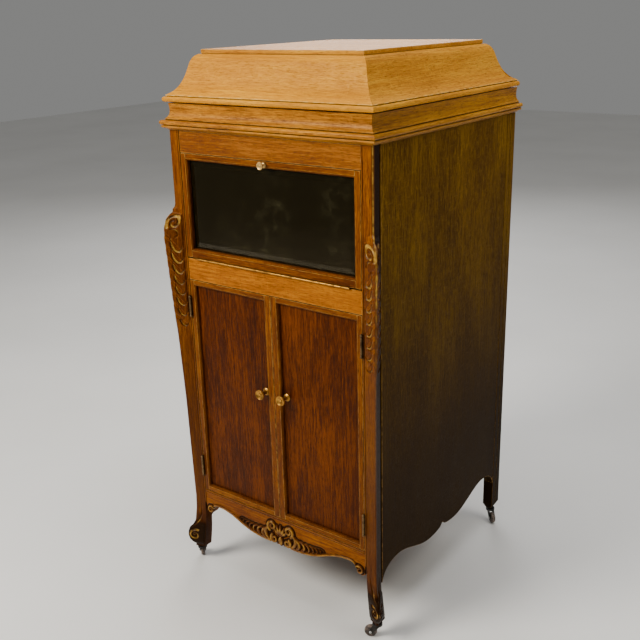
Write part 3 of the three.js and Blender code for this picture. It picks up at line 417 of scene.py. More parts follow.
# ------------------------------------------------------------------ meshes
def new_mesh(vertices, faces):
    bm = bmesh.new()
    made = [bm.verts.new(v) for v in np.asarray(vertices, float).tolist()]
    for face in faces:
        bm.faces.new([made[i] for i in face])
    return bm


def skin(rings, closed=False):
    """Quads between rings of equal length, with flat ends unless the last meets the first."""
    count, n = len(rings), len(rings[0])
    faces = []
    for r in range(count if closed else count - 1):
        near, far = r * n, (r + 1) % count * n
        faces += [(near + i, near + (i + 1) % n, far + (i + 1) % n, far + i) for i in range(n)]
    if not closed:
        faces += [tuple(range(n)), tuple(range((count - 1) * n, count * n))]
    return new_mesh([point for ring in rings for point in ring], faces)


def rectangle(x, y, z):
    """A ring of four corners at depth y."""
    return [(x[0], y, z[0]), (x[1], y, z[0]), (x[1], y, z[1]), (x[0], y, z[1])]


def crossing(edge, limit):
    return len(edge.link_faces) == 2 and edge.calc_face_angle() > limit


def make_piece(name, bm, finish, body, replaces=(), bevel=0.0, sharp=35, relief=None):
    """Finishes a mesh drawn in cabinet millimetres and puts it on its body."""
    bmesh.ops.recalc_face_normals(bm, faces=bm.faces)
    if bevel:
        tag = bm.faces.layers.float.new("wear_and_highlight")
        edges = [e for e in bm.edges if crossing(e, math.radians(30))]
        made = bmesh.ops.bevel(bm, geom=edges, offset=bevel, segments=2, profile=0.6,
                               affect="EDGES", clamp_overlap=True)
        for face in made["faces"]:
            face[tag] = 1.0
    for face in bm.faces:
        face.smooth = True
    for edge in bm.edges:
        edge.smooth = not crossing(edge, math.radians(sharp))
    for vertex in bm.verts:
        vertex.co = Vector(np.array(vertex.co) * MM + ORIGIN)
    mesh = bpy.data.meshes.new(name)
    bm.to_mesh(mesh)
    bm.free()
    if relief is not None:
        mesh.attributes.new("wear_and_highlight", "FLOAT", "POINT").data.foreach_set("value", relief)
    mesh.materials.append(finish)
    piece = bpy.data.objects.new(name, mesh)
    bpy.context.scene.collection.objects.link(piece)
    if bevel:
        piece.modifiers.new("even_normals", "WEIGHTED_NORMAL").keep_sharp = True
    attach(piece, body)
    if replaces:
        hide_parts(*([replaces] if isinstance(replaces, str) else replaces))
    return piece


def block(x, y, z):
    corners = [(a, b, c) for a in x for b in y for c in z]
    faces = [(0, 1, 3, 2), (4, 6, 7, 5), (0, 4, 5, 1), (2, 3, 7, 6), (0, 2, 6, 4), (1, 5, 7, 3)]
    return new_mesh(corners, faces)


def prism(outline, plane, span):
    """A closed outline in plane 'xz', 'yz' or 'xy', carried along the third axis."""
    order = {"xz": (0, 2, 1), "yz": (2, 0, 1), "xy": (0, 1, 2)}[plane]
    return skin([[tuple((a, b, level)[k] for k in order) for a, b in outline] for level in span])


def frame_of(axis):
    """Two unit vectors square to an axis."""
    axis = np.array(axis, float) / np.linalg.norm(axis)
    guess = np.array([0, 0, 1.0]) if abs(axis[2]) < 0.9 else np.array([1.0, 0, 0])
    first = np.cross(guess, axis)
    first /= np.linalg.norm(first)
    return first, np.cross(axis, first)


def turned(profile, axis, at, sides=48):
    """A body turned about an axis. The profile holds (radius, distance along the axis)."""
    axis = np.array(axis, float) / np.linalg.norm(axis)
    first, second = frame_of(axis)
    angles = np.arange(sides) * 2 * math.pi / sides
    vertices, rings = [], []
    for radius, along in profile:
        centre = np.array(at, float) + axis * along
        start = len(vertices)
        if radius < 1e-6:
            vertices.append(centre)
            rings.append([start] * sides)
            continue
        for angle in angles:
            vertices.append(centre + radius * (first * math.cos(angle) + second * math.sin(angle)))
        rings.append(list(range(start, start + sides)))
    faces = []
    for near, far in zip(rings, rings[1:]):
        for i in range(sides):
            j = (i + 1) % sides
            corners = [near[i], near[j], far[j], far[i]]
            face = [c for k, c in enumerate(corners) if c != corners[k - 1]]
            if len(face) > 2:
                faces.append(face)
    return new_mesh(vertices, faces)


def rounded(profile, steps=3, cut=0.35):
    """A profile with its inner corners rounded off."""
    points = [np.array(profile[0], float)]
    for before, corner, after in zip(profile, profile[1:], profile[2:]):
        before, corner, after = (np.array(p, float) for p in (before, corner, after))
        start, end = corner + (before - corner) * cut, corner + (after - corner) * cut
        for k in range(steps + 1):
            t = k / steps
            points.append((1 - t) ** 2 * start + 2 * t * (1 - t) * corner + t * t * end)
    points.append(np.array(profile[-1], float))
    return [tuple(p) for p in points]


def smooth_path(points, steps=8):
    """A Catmull-Rom curve through points, which may hold any number of values each."""
    p = [np.array(q, float) for q in points]
    p = [2 * p[0] - p[1], *p, 2 * p[-1] - p[-2]]
    out = []
    for a, b, c, d in zip(p, p[1:], p[2:], p[3:]):
        for k in range(steps):
            t = k / steps
            out.append(0.5 * (2 * b + (c - a) * t + (2 * a - 5 * b + 4 * c - d) * t * t
                              + (3 * b - a - 3 * c + d) * t ** 3))
    out.append(p[-2])
    return np.array(out)


def tube(path, radii, sides=24):
    """A closed round body along a path, its radius given at each point."""
    path = np.array(path, float)
    along = np.gradient(path, axis=0)
    along /= np.linalg.norm(along, axis=1)[:, None]
    first, _ = frame_of(along[0])
    angles = np.arange(sides) * 2 * math.pi / sides
    rings = []
    for point, direction, radius in zip(path, along, radii):
        first = first - direction * first.dot(direction)
        first /= np.linalg.norm(first)
        second = np.cross(direction, first)
        rings.append([point + radius * (first * math.cos(a) + second * math.sin(a)) for a in angles])
    return skin(rings)


def joined(*parts):
    """Several closed meshes in one piece."""
    whole = parts[0]
    for part in parts[1:]:
        mesh = bpy.data.meshes.new("part")
        part.to_mesh(mesh)
        part.free()
        whole.from_mesh(mesh)
        bpy.data.meshes.remove(mesh)
    return whole


def refine(node, finish, bevel=0.8, sharp=35):
    """A CAD piece with the same shape, its flat faces made whole and its edges eased."""
    source = frame["nodes"][node]
    bm = bmesh.new()
    bm.from_mesh(source.data)
    bmesh.ops.remove_doubles(bm, verts=bm.verts, dist=2e-6)
    bmesh.ops.dissolve_limit(bm, angle_limit=math.radians(0.6), verts=bm.verts, edges=bm.edges)
    for vertex in bm.verts:
        vertex.co = Vector((np.array(vertex.co) - ORIGIN) / MM)
    return make_piece(node + "_surface", bm, finish, source["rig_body"], node, bevel, sharp)


def screw(name, at, axis, finish, body, head=3.4):
    """A slotted countersunk screw head."""
    profile = [(0, -1.2), (head * 0.6, -1.2), (head, 0.0), (head * 0.92, 0.35), (0, 0.75)]
    return make_piece(name, turned(profile, axis, at, 20), finish, body, sharp=40)


# ------------------------------------------------------------------ relief carving
def ridge(u, z, path, height):
    """The height at points (u, z) of a rounded ridge along a path of (u, z, radius)."""
    best = np.zeros_like(u)
    for (u0, z0, r0), (u1, z1, r1) in zip(path, path[1:]):
        length = max((u1 - u0) ** 2 + (z1 - z0) ** 2, 1e-9)
        t = np.clip(((u - u0) * (u1 - u0) + (z - z0) * (z1 - z0)) / length, 0, 1)
        off = np.hypot(u - u0 - t * (u1 - u0), z - z0 - t * (z1 - z0))
        radius = r0 + t * (r1 - r0)
        best = np.maximum(best, np.sqrt(np.clip(1 - (off / radius) ** 2, 0, 1)) * radius)
    return best * height


def spiral(centre, start, turns, radius, thickness, steps=44):
    """A volute winding inwards: angles in degrees, clockwise where turns is negative."""
    path = []
    for k in range(steps + 1):
        t = k / steps
        angle = math.radians(start + 360 * turns * t)
        reach = radius[0] + (radius[1] - radius[0]) * t ** 0.85
        width = thickness[0] + (thickness[1] - thickness[0]) * t
        path.append((centre[0] + reach * math.cos(angle), centre[1] + reach * math.sin(angle), width))
    return path


def smooth_step(value, low, high):
    t = np.clip((value - low) / (high - low), 0, 1)
    return t * t * (3 - 2 * t)


# ------------------------------------------------------------------ front posts
# The outer corner's swell along x and along y: [height, swell].
POST_SWELL = [
    (38, 12), (45, 11), (49, 16), (58, 21), (70, 23), (82, 22), (91, 18.5), (98, 12), (108, 8.5),
    (122, 6.6), (142, 4.7), (175, 3.8), (235, 4.7), (330, 6), (424, 7.2), (495, 9), (572, 11.2),
    (650, 14.6), (700, 16.7), (760, 19.2), (806, 21), (828, 19.7), (846, 15.7), (857, 8.6),
    (862, 4.6), (867, 5.8), (872, 1.3), (882, 0.3), (1034, 0),
]
POST_WIDTH = 22.0
POST_DEPTH = cabinet_box("front_post_left")[1][1]
CARVING_DEPTH = 2.9  # how far the ground is cut away round the carving
CARVING_HEIGHT = 0.88  # of each ridge's own height
LEAN_BELOW = 150.0  # the foot's inner edge leans outwards below this height
LEAN = 10.0
FACE_COLUMNS = 44


def post_swell(z):
    heights, swells = zip(*POST_SWELL)
    samples = np.arange(-6, 7) * 0.6
    weights = np.exp(-(samples / 2.4) ** 2)
    spread = [np.interp(z + s, heights, swells) * w for s, w in zip(samples, weights)]
    return sum(spread) / weights.sum()


# One lobe of the knee's acanthus leaf, from the corner across the face: (share of the face
# width from the corner, drop, radius). A rim curls round its end and a vein is cut along it.
LOBE = [(-0.02, 8, 6.2), (0.20, 0, 6.4), (0.42, -13, 5.8), (0.62, -23, 4.8), (0.78, -26, 3.8),
        (0.90, -18, 3.0), (0.90, -8, 2.2), (0.82, -4, 1.4)]
RIM = [(0.36, 2, 1.6), (0.32, -9, 2.8), (0.37, -21, 3.3), (0.53, -30, 3.3), (0.73, -30, 2.9),
       (0.88, -21, 1.9)]
VEIN = [(0.10, 4, 0.9), (0.24, -2, 1.1), (0.42, -13, 1.1), (0.60, -22, 0.8)]
LOBE_TOPS = [806 - 25.5 * k for k in range(8)]


def post_carving(u, z, width):
    """The carving on a post's face: its height, where the ground is cut away, and the share
    of pale paint, for rubbing and painted highlight, that its crests take.

    u is the distance in from the corner and width is the width of the face at that height."""
    t = u / width

    def at(level):
        """The width of the face at one height."""
        return np.interp(level, z[:, 0], width[:, 0])

    height = np.zeros_like(u)
    cuts = np.zeros_like(u)
    for k, top in enumerate(LOBE_TOPS):
        size = 1.0 - 0.045 * k
        near = np.abs(z - top + 8) < 40
        for strokes, target, lift in ((LOBE, height, 0.38), (RIM, height, 1.35), (VEIN, cuts, 1.2)):
            path = smooth_path([(share * at(top + drop), top + drop * size, radius * size)
                                for share, drop, radius in strokes], 5)
            np.copyto(target, np.maximum(target, ridge(u, z, path, lift)), where=near)
    height = np.maximum(height - cuts, 0)
    knee = (0.50 * at(840), 839)
    foot = (0.38 * at(70), 70)
    scrolls = [
        (spiral(knee, 215, -1.45, (18.0, 3.6), (5.0, 2.8)), 0.88),
        (smooth_path([(0.36 * at(824), 825, 2.6), (0.62 * at(818), 822, 3.2),
                      (0.70 * at(812), 812, 2.6), (0.52 * at(806), 805, 1.6)], 5), 0.95),
        (spiral(foot, 60, 1.35, (15.0, 3.4), (4.0, 2.6)), 1.05),
        ([(*foot, 2.4), (foot[0] + 0.5, foot[1], 2.4)], 1.3),
        (smooth_path([(0.10 * at(96), 94, 2.2), (0.34 * at(104), 106, 3.4),
                      (0.55 * at(124), 126, 2.6), (0.6 * at(140), 142, 1.2)], 5), 0.9),
    ]
    for path, lift in scrolls:
        height = np.maximum(height, ridge(u, z, path, lift))
    gleam = np.maximum(smooth_step(t, 0.22, 0.34), smooth_step(z, 800, 815) + (z < 150))
    leaf = smooth_step(z, 592, 640) * (1 - smooth_step(z, 854, 860))
    end = smooth_step(z, 40, 50) * (1 - smooth_step(z, 100, 112))
    ground = np.maximum(leaf, end) * (1 - smooth_step(t, 0.88, 0.95))
    return height, ground, np.minimum(gleam, 1)


def front_post(word, side):
    z = np.unique(np.concatenate([
        np.arange(FOOT_Z, 128, 1.1), np.arange(128, 590, 6.0), np.arange(590, 880, 1.1),
        np.arange(880, TOP_RAIL[1][2], 12.0), [TOP_RAIL[1][2]],
    ]))[:, None]
    swell = post_swell(z)
    lean = LEAN * np.clip((LEAN_BELOW - z) / (LEAN_BELOW - FOOT_Z), 0, 1) ** 2
    corner = np.stack([HALF + swell, -swell], -1)
    inner = np.stack([HALF - POST_WIDTH + lean, -0.2 * lean], -1)
    outer = np.stack([HALF + lean, POST_DEPTH + 0 * lean], -1)
    corner_radius = 1.5 + 4.5 * (1 - smooth_step(z, 90, 130)) + 2.0 * smooth_step(z, 500, 760)

    def face(edge, shares):
        reach = np.linalg.norm(edge - corner, axis=-1)
        u = reach * shares[None, :]
        towards = (edge - corner) / reach[..., None]
        height, ground, gleam = post_carving(u, z + 0 * u, reach + 0 * u)
        lift = height * CARVING_HEIGHT - CARVING_DEPTH * ground
        flat = corner + towards * u[..., None]
        return u, flat, lift, height, ground, gleam, towards

    u1, flat1, lift1, high1, low1, gleam1, to1 = face(inner, np.linspace(1, 0, FACE_COLUMNS))
    u2, flat2, lift2, high2, low2, gleam2, to2 = face(outer, np.linspace(0, 1, FACE_COLUMNS)[1:])
    # The corner is a short arc between the two faces.
    start = corner + to1 * corner_radius[..., None]
    end = corner + to2 * corner_radius[..., None]
    for u, flat, first in ((u1, flat1, True), (u2, flat2, False)):
        share = 0.5 * (1 - np.clip(u / corner_radius, 0, 1))
        t = (share if first else 1 - share)[..., None]
        arc = (1 - t) ** 2 * start + 2 * t * (1 - t) * corner + t * t * end
        np.copyto(flat, arc, where=(u < corner_radius)[..., None])
    normal1 = np.stack([to1[..., 1], -to1[..., 0]], -1)
    normal2 = np.stack([-to2[..., 1], to2[..., 0]], -1)
    blend = 0.5 * (1 - np.clip(u1 / corner_radius, 0, 1))[..., None]
    out1 = normal1 * (1 - blend) + normal2 * blend
    blend = 0.5 * (1 - np.clip(u2 / corner_radius, 0, 1))[..., None]
    out2 = normal2 * (1 - blend) + normal1 * blend
    back = np.stack([HALF - POST_WIDTH + lean, POST_DEPTH + 0 * lean], -1)
    ring = np.concatenate([flat1 + out1 * lift1[..., None], flat2 + out2 * lift2[..., None], back], 1)

    # Crests are painted pale, for rubbing and painted highlight, and the ground gets
    # painted shade, darker still towards the foot.
    high, ground = np.concatenate([high1, high2], 1), np.concatenate([low1, low2], 1)
    crests = np.clip((high - 2.2) / 1.1, -0.8, 1)
    crests = np.where(crests > 0, crests * np.concatenate([gleam1, gleam2], 1), crests)
    relief = np.where(high > 1.0, crests, -ground)
    foot_darkening = 1 - smooth_step(z, 84, 140)
    relief = np.where(relief < 0, np.minimum(relief + 0.92 * (1 - foot_darkening), 0), relief)
    relief -= 0.6 * foot_darkening * (relief < 0.05)
    # A pale line down the corner: painted highlight of the lamp, with a rubbed edge.
    corner_highlight_and_rub = np.exp(-(np.concatenate([u1, u2], 1) / 2.5) ** 2)
    corner_highlight_and_rub *= smooth_step(z, 240, 420) * (0.5 + 0.5 * smooth_step(z, 700, 780))
    relief = np.where(corner_highlight_and_rub > 0.1, np.maximum(relief, corner_highlight_and_rub), relief)
    # The faces turned to the sides are painted dark: a stain like the side boards', and
    # painted shade, as these faces turn from the light.
    stain_and_shade = 0.9 * smooth_step(u2, 3, 6) * (high2 <= 1.2)
    side_face = relief[:, FACE_COLUMNS:]
    np.minimum(side_face, -stain_and_shade, out=side_face, where=stain_and_shade > 0)
    relief = np.concatenate([relief, 0 * z], 1)

    rings = np.concatenate([ring, np.repeat(z, ring.shape[1], 1)[..., None]], -1)
    rings[..., 0] *= side
    make_piece(f"front_post_{word}_carved", skin(rings), CARVED, "case",
               f"front_post_{word}", sharp=50, relief=relief.reshape(-1))

    # The upright bead between the post and the doors: half round, with a groove on each side.
    x0, x1 = HALF - POST_WIDTH - 4.5, HALF - POST_WIDTH
    middle_x, radius = (x0 + x1) / 2 - 0.3, 1.75
    arc = [(middle_x - radius * math.cos(a), 1.2 - radius * math.sin(a))
           for a in np.linspace(0, math.pi, 12)]
    outline = [(x0 + 0.2, POST_DEPTH), (x0 + 0.2, 2.4), *arc, (x1 - 0.2, 2.4), (x1 - 0.2, POST_DEPTH)]
    bead = prism([(side * x, y) for x, y in outline], "xy", (FOOT_Z + 125, TOP_RAIL[1][2]))
    make_piece(f"front_post_{word}_bead", bead, OAK_Z, "case", sharp=40)


# ------------------------------------------------------------------ apron
APRON_TOP = cabinet_box("apron")[1][2]
# Height of the apron's lower edge against distance from its end, then from its middle.
APRON_EDGE = [(0, 128), (48, 128.2), (70, 130), (92, 134.5), (112, 141.5), (128, 148.5),
              (146, 155.5), (166, 160.5), (186, 162), (197, 160.5), (202, 156), (205.5, 149),
              (208, 142), (212, 137.5), (217, 136.3), (222, 138), (226.5, 142)]


def apron_edge(x):
    distance, height = zip(*APRON_EDGE)
    samples = np.arange(-5, 6) * 0.8
    weights = np.exp(-(samples / 2.2) ** 2)
    spread = [np.interp(np.abs(x + s), distance, height) * w for s, w in zip(samples, weights)]
    return sum(spread) / weights.sum()


def apron_carving(x, z):
    """The carving's height, and where the ground is cut away round it."""
    a = np.abs(x)
    along_edge = np.arange(30, 203, 3.0)
    bead = [(d, float(apron_edge(np.array(d))) + 4.4, 3.5) for d in along_edge]
    strokes = [(spiral((212.5, 149), 150, -1.2, (10.5, 2.5), (3.4, 2.6)), 0.95)]
    cuts = []
    # Acanthus lobes march outwards from the middle, each smaller than the last.
    for k in range(7):
        size = 1.0 - 0.09 * k
        base = 47 + 14.5 * k - 0.55 * k * k
        foot = float(apron_edge(np.array(float(base)))) + 8
        lobe = [(base - 2, foot, 3.6 * size), (base + 5, foot + 8 * size, 5.0 * size),
                (base + 3, foot + 18 * size, 4.6 * size), (base - 5, foot + 23 * size, 3.4 * size),
                (base - 10, foot + 18 * size, 2.2 * size)]
        strokes.append((smooth_path(lobe, 4), 0.72))
        vein = [(base, foot + 2, 1.0), (base + 4, foot + 9 * size, 1.2),
                (base + 1, foot + 17 * size, 1.0)]
        cuts.append((smooth_path(vein, 4), 1.1))
    # Scrolls clasp a shell in the middle.
    strokes.append((spiral((24, 172), -60, 1.35, (13.0, 3.4), (4.4, 2.8)), 0.95))
    strokes.append((spiral((19, 141), 60, -1.3, (10.5, 2.8), (4.0, 2.6)), 0.95))
    clasp = [(33, 168, 2.8), (42, 158, 4.6), (41, 145, 4.8), (31, 134, 3.2)]
    strokes.append((smooth_path(clasp, 5), 0.85))
    for angle in (90, 64, 38):
        turn = math.radians(angle)
        rib = [(reach * math.cos(turn), 152 + 1.08 * reach * math.sin(turn), radius)
               for reach, radius in ((3, 2.2), (14, 4.2), (25, 2.6))]
        strokes.append((rib, 0.85))
    strokes.append((smooth_path([(0, 150, 3.6), (3, 141, 4.2), (0, 130, 2.8)], 4), 0.9))
    height, cut, ground = ridge(a, z, bead, 0.85), np.zeros_like(x), np.zeros_like(x)
    for path, lift in strokes:
        height = np.maximum(height, ridge(a, z, path, lift))
        halo = ridge(a, z, [(u, v, radius + 3.2) for u, v, radius in path], 1.0)
        ground = np.maximum(ground, smooth_step(halo, 0.4, 3.6))
    for path, lift in cuts:
        cut = np.maximum(cut, ridge(a, z, path, lift))
    return np.maximum(height - cut, 0), ground * (height - cut < 1.6)


def apron():
    x = np.linspace(-OPENING_HALF, OPENING_HALF, 420)[:, None]
    share = np.linspace(0, 1, 58)[None, :] ** 1.15
    low = apron_edge(x)
    z = low + (APRON_TOP - low) * share
    x = x + 0 * z
    height, ground = apron_carving(x, z)
    y = 1.0 - np.where(height > 0, 1.1 * height, 0) + 1.6 * ground
    y = y + 1.6 * np.exp(-((z - low) / 1.6) ** 2)
    front = np.stack([x, y, z], -1)
    rows, columns = x.shape
    vertices = front.reshape(-1, 3).tolist()
    start = len(vertices)
    for r in range(rows):
        vertices += [(x[r, end], POST_DEPTH, z[r, end]) for end in (0, -1)]
    faces = []
    for r in range(rows - 1):
        here, there, back = r * columns, (r + 1) * columns, start + 2 * r
        faces += [(here + c, there + c, there + c + 1, here + c + 1) for c in range(columns - 1)]
        faces += [(here, back, back + 2, there), (there - 1, there + columns - 1, back + 3, back + 1),
                  (back, back + 1, back + 3, back + 2)]
    for r in (0, rows - 1):
        line = [r * columns + c for c in range(columns)]
        faces.append(tuple(line + [start + 2 * r + 1, start + 2 * r]))
    # Crests are painted pale, for rubbing and painted highlight; the cut-away ground gets painted
    # shade.
    relief = np.where(height > 0.9, np.clip((height - 1.9) / 1.2, -0.7, 1), -ground).reshape(-1)
    relief = np.concatenate([relief, np.zeros(2 * rows)])
    make_piece("apron_carved", new_mesh(vertices, faces), APRON_X, "case", "apron",
               sharp=50, relief=relief)
    # Two fine beads run under the doors.
    for name, level, radius in (("upper", APRON_TOP - 2.2, 1.6), ("lower", APRON_TOP - 6.4, 1.2)):
        path = [(-OPENING_HALF + 0.5, 0.9, level), (OPENING_HALF - 0.5, 0.9, level)]
        make_piece(f"apron_{name}_bead", tube(path, [radius, radius], 16), OAK_X, "case",
                   sharp=60)


# ------------------------------------------------------------------ case boards
def curve(points, steps=14):
    """Bezier points: 3 or 4 control points to a polyline without its last point."""
    p = [np.array(q, float) for q in points]
    n = len(p) - 1

    def point(t):
        return tuple(sum(math.comb(n, i) * (1 - t) ** (n - i) * t ** i * p[i] for i in range(n + 1)))

    return [point(k / steps) for k in range(steps)]


SIDE_THICKNESS = 18.5
TONGUE = 6.5  # the depth and width of the groove between a side board and its front post
SKIRT_LOW, SKIRT_HIGH, SKIRT_MIDDLE = 122, 156, 136.5


def side_board(word, side):
    low, high = cabinet_box(f"side_panel_{word}")
    front, back, top = low[1], high[1], high[2]
    centre = (front + TONGUE + back) / 2
    skirt = curve([(front + TONGUE, 118), (centre - 247, 146), (centre - 222, SKIRT_HIGH),
                   (centre - 190, SKIRT_HIGH)])
    skirt += curve([(centre - 190, SKIRT_HIGH), (centre - 150, SKIRT_HIGH),
                    (centre - 105, SKIRT_LOW), (centre - 55, SKIRT_LOW)])
    skirt += curve([(centre - 55, SKIRT_LOW), (centre - 20, SKIRT_LOW), (centre - 5, 130)], 6)
    skirt += [(centre, SKIRT_MIDDLE)]
    mirrored = [(2 * centre - y, z) for y, z in reversed(skirt[:-1])]
    outline = [(front + TONGUE, top), *skirt, *mirrored, (back, top)]
    outer = HALF - POST_FACE
    inner = outer - SIDE_THICKNESS
    board = prism(outline, "yz", (side * inner, side * outer))
    make_piece(f"side_board_{word}", board, SIDE_Z, "case", f"side_panel_{word}",
               bevel=1.1)
    # The joint to the front post: a sunk strip with a quarter bead against the board.
    strip = block((side * inner, side * (outer - TONGUE)), (front + 0.2, front + TONGUE - 0.1),
                  (117, top))
    make_piece(f"side_tongue_{word}", strip, SIDE_Z, "case", bevel=0.5)
    bead = [(side * (outer - 1.6), front + TONGUE - 1.2, z) for z in (120, top)]
    make_piece(f"side_bead_{word}", tube(bead, [1.3, 1.3], 14), SIDE_Z, "case", sharp=60)


LEG_WIDTH = 25.4


def back_leg(word, side):
    """A leg in two boards, whose joint shows as a fine line down the side."""
    low, high = cabinet_box(f"back_leg_{word}")
    chamfer, seam, line = 7, 551, 0.5
    for name, y in (("front", (low[1], seam - line)), ("rear", (seam + line, high[1]))):
        x = (side * (HALF - LEG_WIDTH), side * HALF)
        z0, z1, z2 = low[2], low[2] + 2 * chamfer, high[2]
        x_in = (x[0] + side * chamfer, x[1] - side * chamfer)
        y_in = (y[0] + (chamfer if name == "front" else 0), y[1] - (chamfer if name == "rear" else 0))
        rings = [(x_in, y_in, z0), (x, y, z1), (x, y, z2)]
        leg = skin([[(xs[0], ys[0], c), (xs[1], ys[0], c), (xs[1], ys[1], c), (xs[0], ys[1], c)]
                    for xs, ys, c in rings])
        make_piece(f"back_leg_{word}_{name}", leg, LEG_Z, "case", f"back_leg_{word}",
                   bevel=0.9)


def case_boards():
    for word, side in (("left", -1), ("right", 1)):
        front_post(word, side)
        side_board(word, side)
        back_leg(word, side)
    apron()
    refine("top_rail", OAK_X, bevel=1.2)
    refine("mid_rail", RAIL_X, bevel=1.2)
    for node in ("bottom_board", "record_shelf", "horn_shelf"):
        refine(node, INNER_X, bevel=0.8)
    refine("back_panel", INNER_Z, bevel=1.2)
    refine("motor_board", DECK_X, bevel=1.0)
    low, high = cabinet_box("back_panel")
    for word, side in (("left", -1), ("right", 1)):
        for k, z in enumerate(np.linspace(low[2] + 22, high[2] - 30, 7)):
            at = (side * (high[0] - 14), high[1], z)
            screw(f"back_screw_{word}_{k}", at, (0, 1, 0), BRASS, "case")


# ------------------------------------------------------------------ mouldings
def arc(centre, radius, start, end, steps=8):
    angles = np.radians(np.linspace(start, end, steps + 1))
    return [(centre[0] + radius * math.cos(a), centre[1] + radius * math.sin(a)) for a in angles]


def cornice_outline():
    """[inset from the case's faces, height], from the inner bottom corner round the outside."""
    z0, z1 = CORNICE_Z
    outline = [(21, z0), (-0.4, z0)]
    outline += curve([(-0.4, z0), (-3, z0 + 3.4), (-8, z0 + 4.6)], 6)[1:]
    outline += arc((-8.4, z0 + 7.2), 2.5, -90, -270, 8)
    outline += [(-6.6, z0 + 9.8), (-6.6, z0 + 10.4)]
    outline += arc((-8.8, z0 + 15.1), 4.7, -90, -270, 12)
    outline += [(-4.0, z0 + 19.9), (-3.0, z0 + 20.6), (-4.6, z0 + 21.6), (-4.6, z0 + 23.0)]
    outline += curve([(-3.6, z0 + 23.6), (3, z0 + 28), (3.2, z0 + 38)], 10)
    outline += curve([(3.2, z0 + 38), (3.2, z0 + 46), (1.6, z1)], 6)
    outline += [(1.6, z1), (21, z1)]
    return outline


def lid_outline(beaded):
    z0, z1 = LID_Z, LID_TOP[0][2] - GAP
    outline = [(15, z0)]
    if beaded:
        outline += arc((-1.6, z0 + 5.4), 5.4, -90, -270, 14)
        outline += [(0.9, z0 + 11.1), (0.9, z0 + 11.8), (-1.2, z0 + 12.4), (-1.2, z0 + 13.6)]
    else:
        outline += [(0, z0), (0, z0 + 12)]
    outline += curve([(0.4, z0 + 14.6), (16, z0 + 22), (25, z0 + 36), (33, z0 + 64)], 18)
    outline += curve([(33, z0 + 64), (36, z0 + 75), (38.5, z0 + 87.5), (50.5, z1)], 12)
    outline += [(50.5, z1), (76, z1), (58, z0 + 78), (42, z0 + 42), (24, z0 + 24), (15, z0 + 16)]
    return outline


def mitred(outline, where, stretch, back_end=None, gap=0.22):
    """A board of the moulding on one side of the case, cut at 45 degrees in each corner."""
    def back(inset):
        return DEPTH - stretch * max(0.0, inset)

    ends = {
        "front": lambda i, z: [(-HALF + i + gap, i, z), (HALF - i - gap, i, z)],
        "back": lambda i, z: [(-HALF + i + gap, back(i), z), (HALF - i - gap, back(i), z)],
        "left": lambda i, z: [(-HALF + i, i + gap, z), (-HALF + i, (back_end or back(i)) - gap, z)],
        "right": lambda i, z: [(HALF - i, i + gap, z), (HALF - i, (back_end or back(i)) - gap, z)],
    }[where]
    return skin([[ends(inset, z)[end] for inset, z in outline] for end in (0, 1)])


def edge_relief(outline):
    """Pale paint on an outline's convex turns, for rubbing and painted highlight, and painted
    shade in its hollows, from -1 to 1 at each point.
    """
    p = np.array(outline)
    step = np.linalg.norm(np.roll(p, -1, 0) - p, axis=1)
    ahead = np.roll(p, -1, 0) - p
    behind = p - np.roll(p, 1, 0)
    turn = np.arctan2(np.cross(behind, ahead), (behind * ahead).sum(1))
    reach = 0.5 * (step + np.roll(step, 1)) + 1.2
    bend = turn / reach
    area = 0.5 * np.cross(p, np.roll(p, -1, 0)).sum()
    return np.clip(2.6 * bend * np.sign(area), -1, 1)


def mouldings():
    back_end = cabinet_box("cornice_left")[1][1]
    outline = cornice_outline()
    # Each moulding's turns are painted pale and its hollows get painted shade.
    worn_and_highlit = np.tile(edge_relief(outline), 2)
    for side, finish in (("front", OAK_CORNICE_X), ("left", OAK_CORNICE_Y), ("right", OAK_CORNICE_Y)):
        make_piece(f"cornice_{side}_moulding", mitred(outline, side, 1, back_end), finish, "case",
                   f"cornice_{side}", sharp=28, relief=worn_and_highlit)
    stretch = (DEPTH - LID_TOP[1][1]) / LID_TOP[0][1]
    for side, finish in (("front", LID_X), ("back", LID_X), ("left", LID_Y), ("right", LID_Y)):
        outline = lid_outline(side != "back")
        make_piece(f"lid_{side}_moulding", mitred(outline, side, stretch), finish, "lid",
                   f"lid_{side}_board", sharp=28, relief=np.tile(edge_relief(outline), 2))
    refine("lid_top_board", LID_TOP_X, bevel=1.6)


# ------------------------------------------------------------------ doors
def sticking(x, z, width, y, lip, steps=8):
    """The moulded inner edge of a door frame: a quarter round on a small step, mitred."""
    section = [(0.0, y), (0.6, y)]
    section += [(0.6 + (width - 0.6) * math.sin(a), y + 0.8 + (lip - 0.8) * (1 - math.cos(a)))
                for a in np.linspace(0, math.pi / 2, steps + 1)]
    section += [(width, lip + y + 0.01), (width, y + lip + 2), (0.0, y + lip + 2)]
    return skin([rectangle((x[0] + inset, x[1] - inset), depth, (z[0] + inset, z[1] - inset))
                 for inset, depth in section], closed=True)


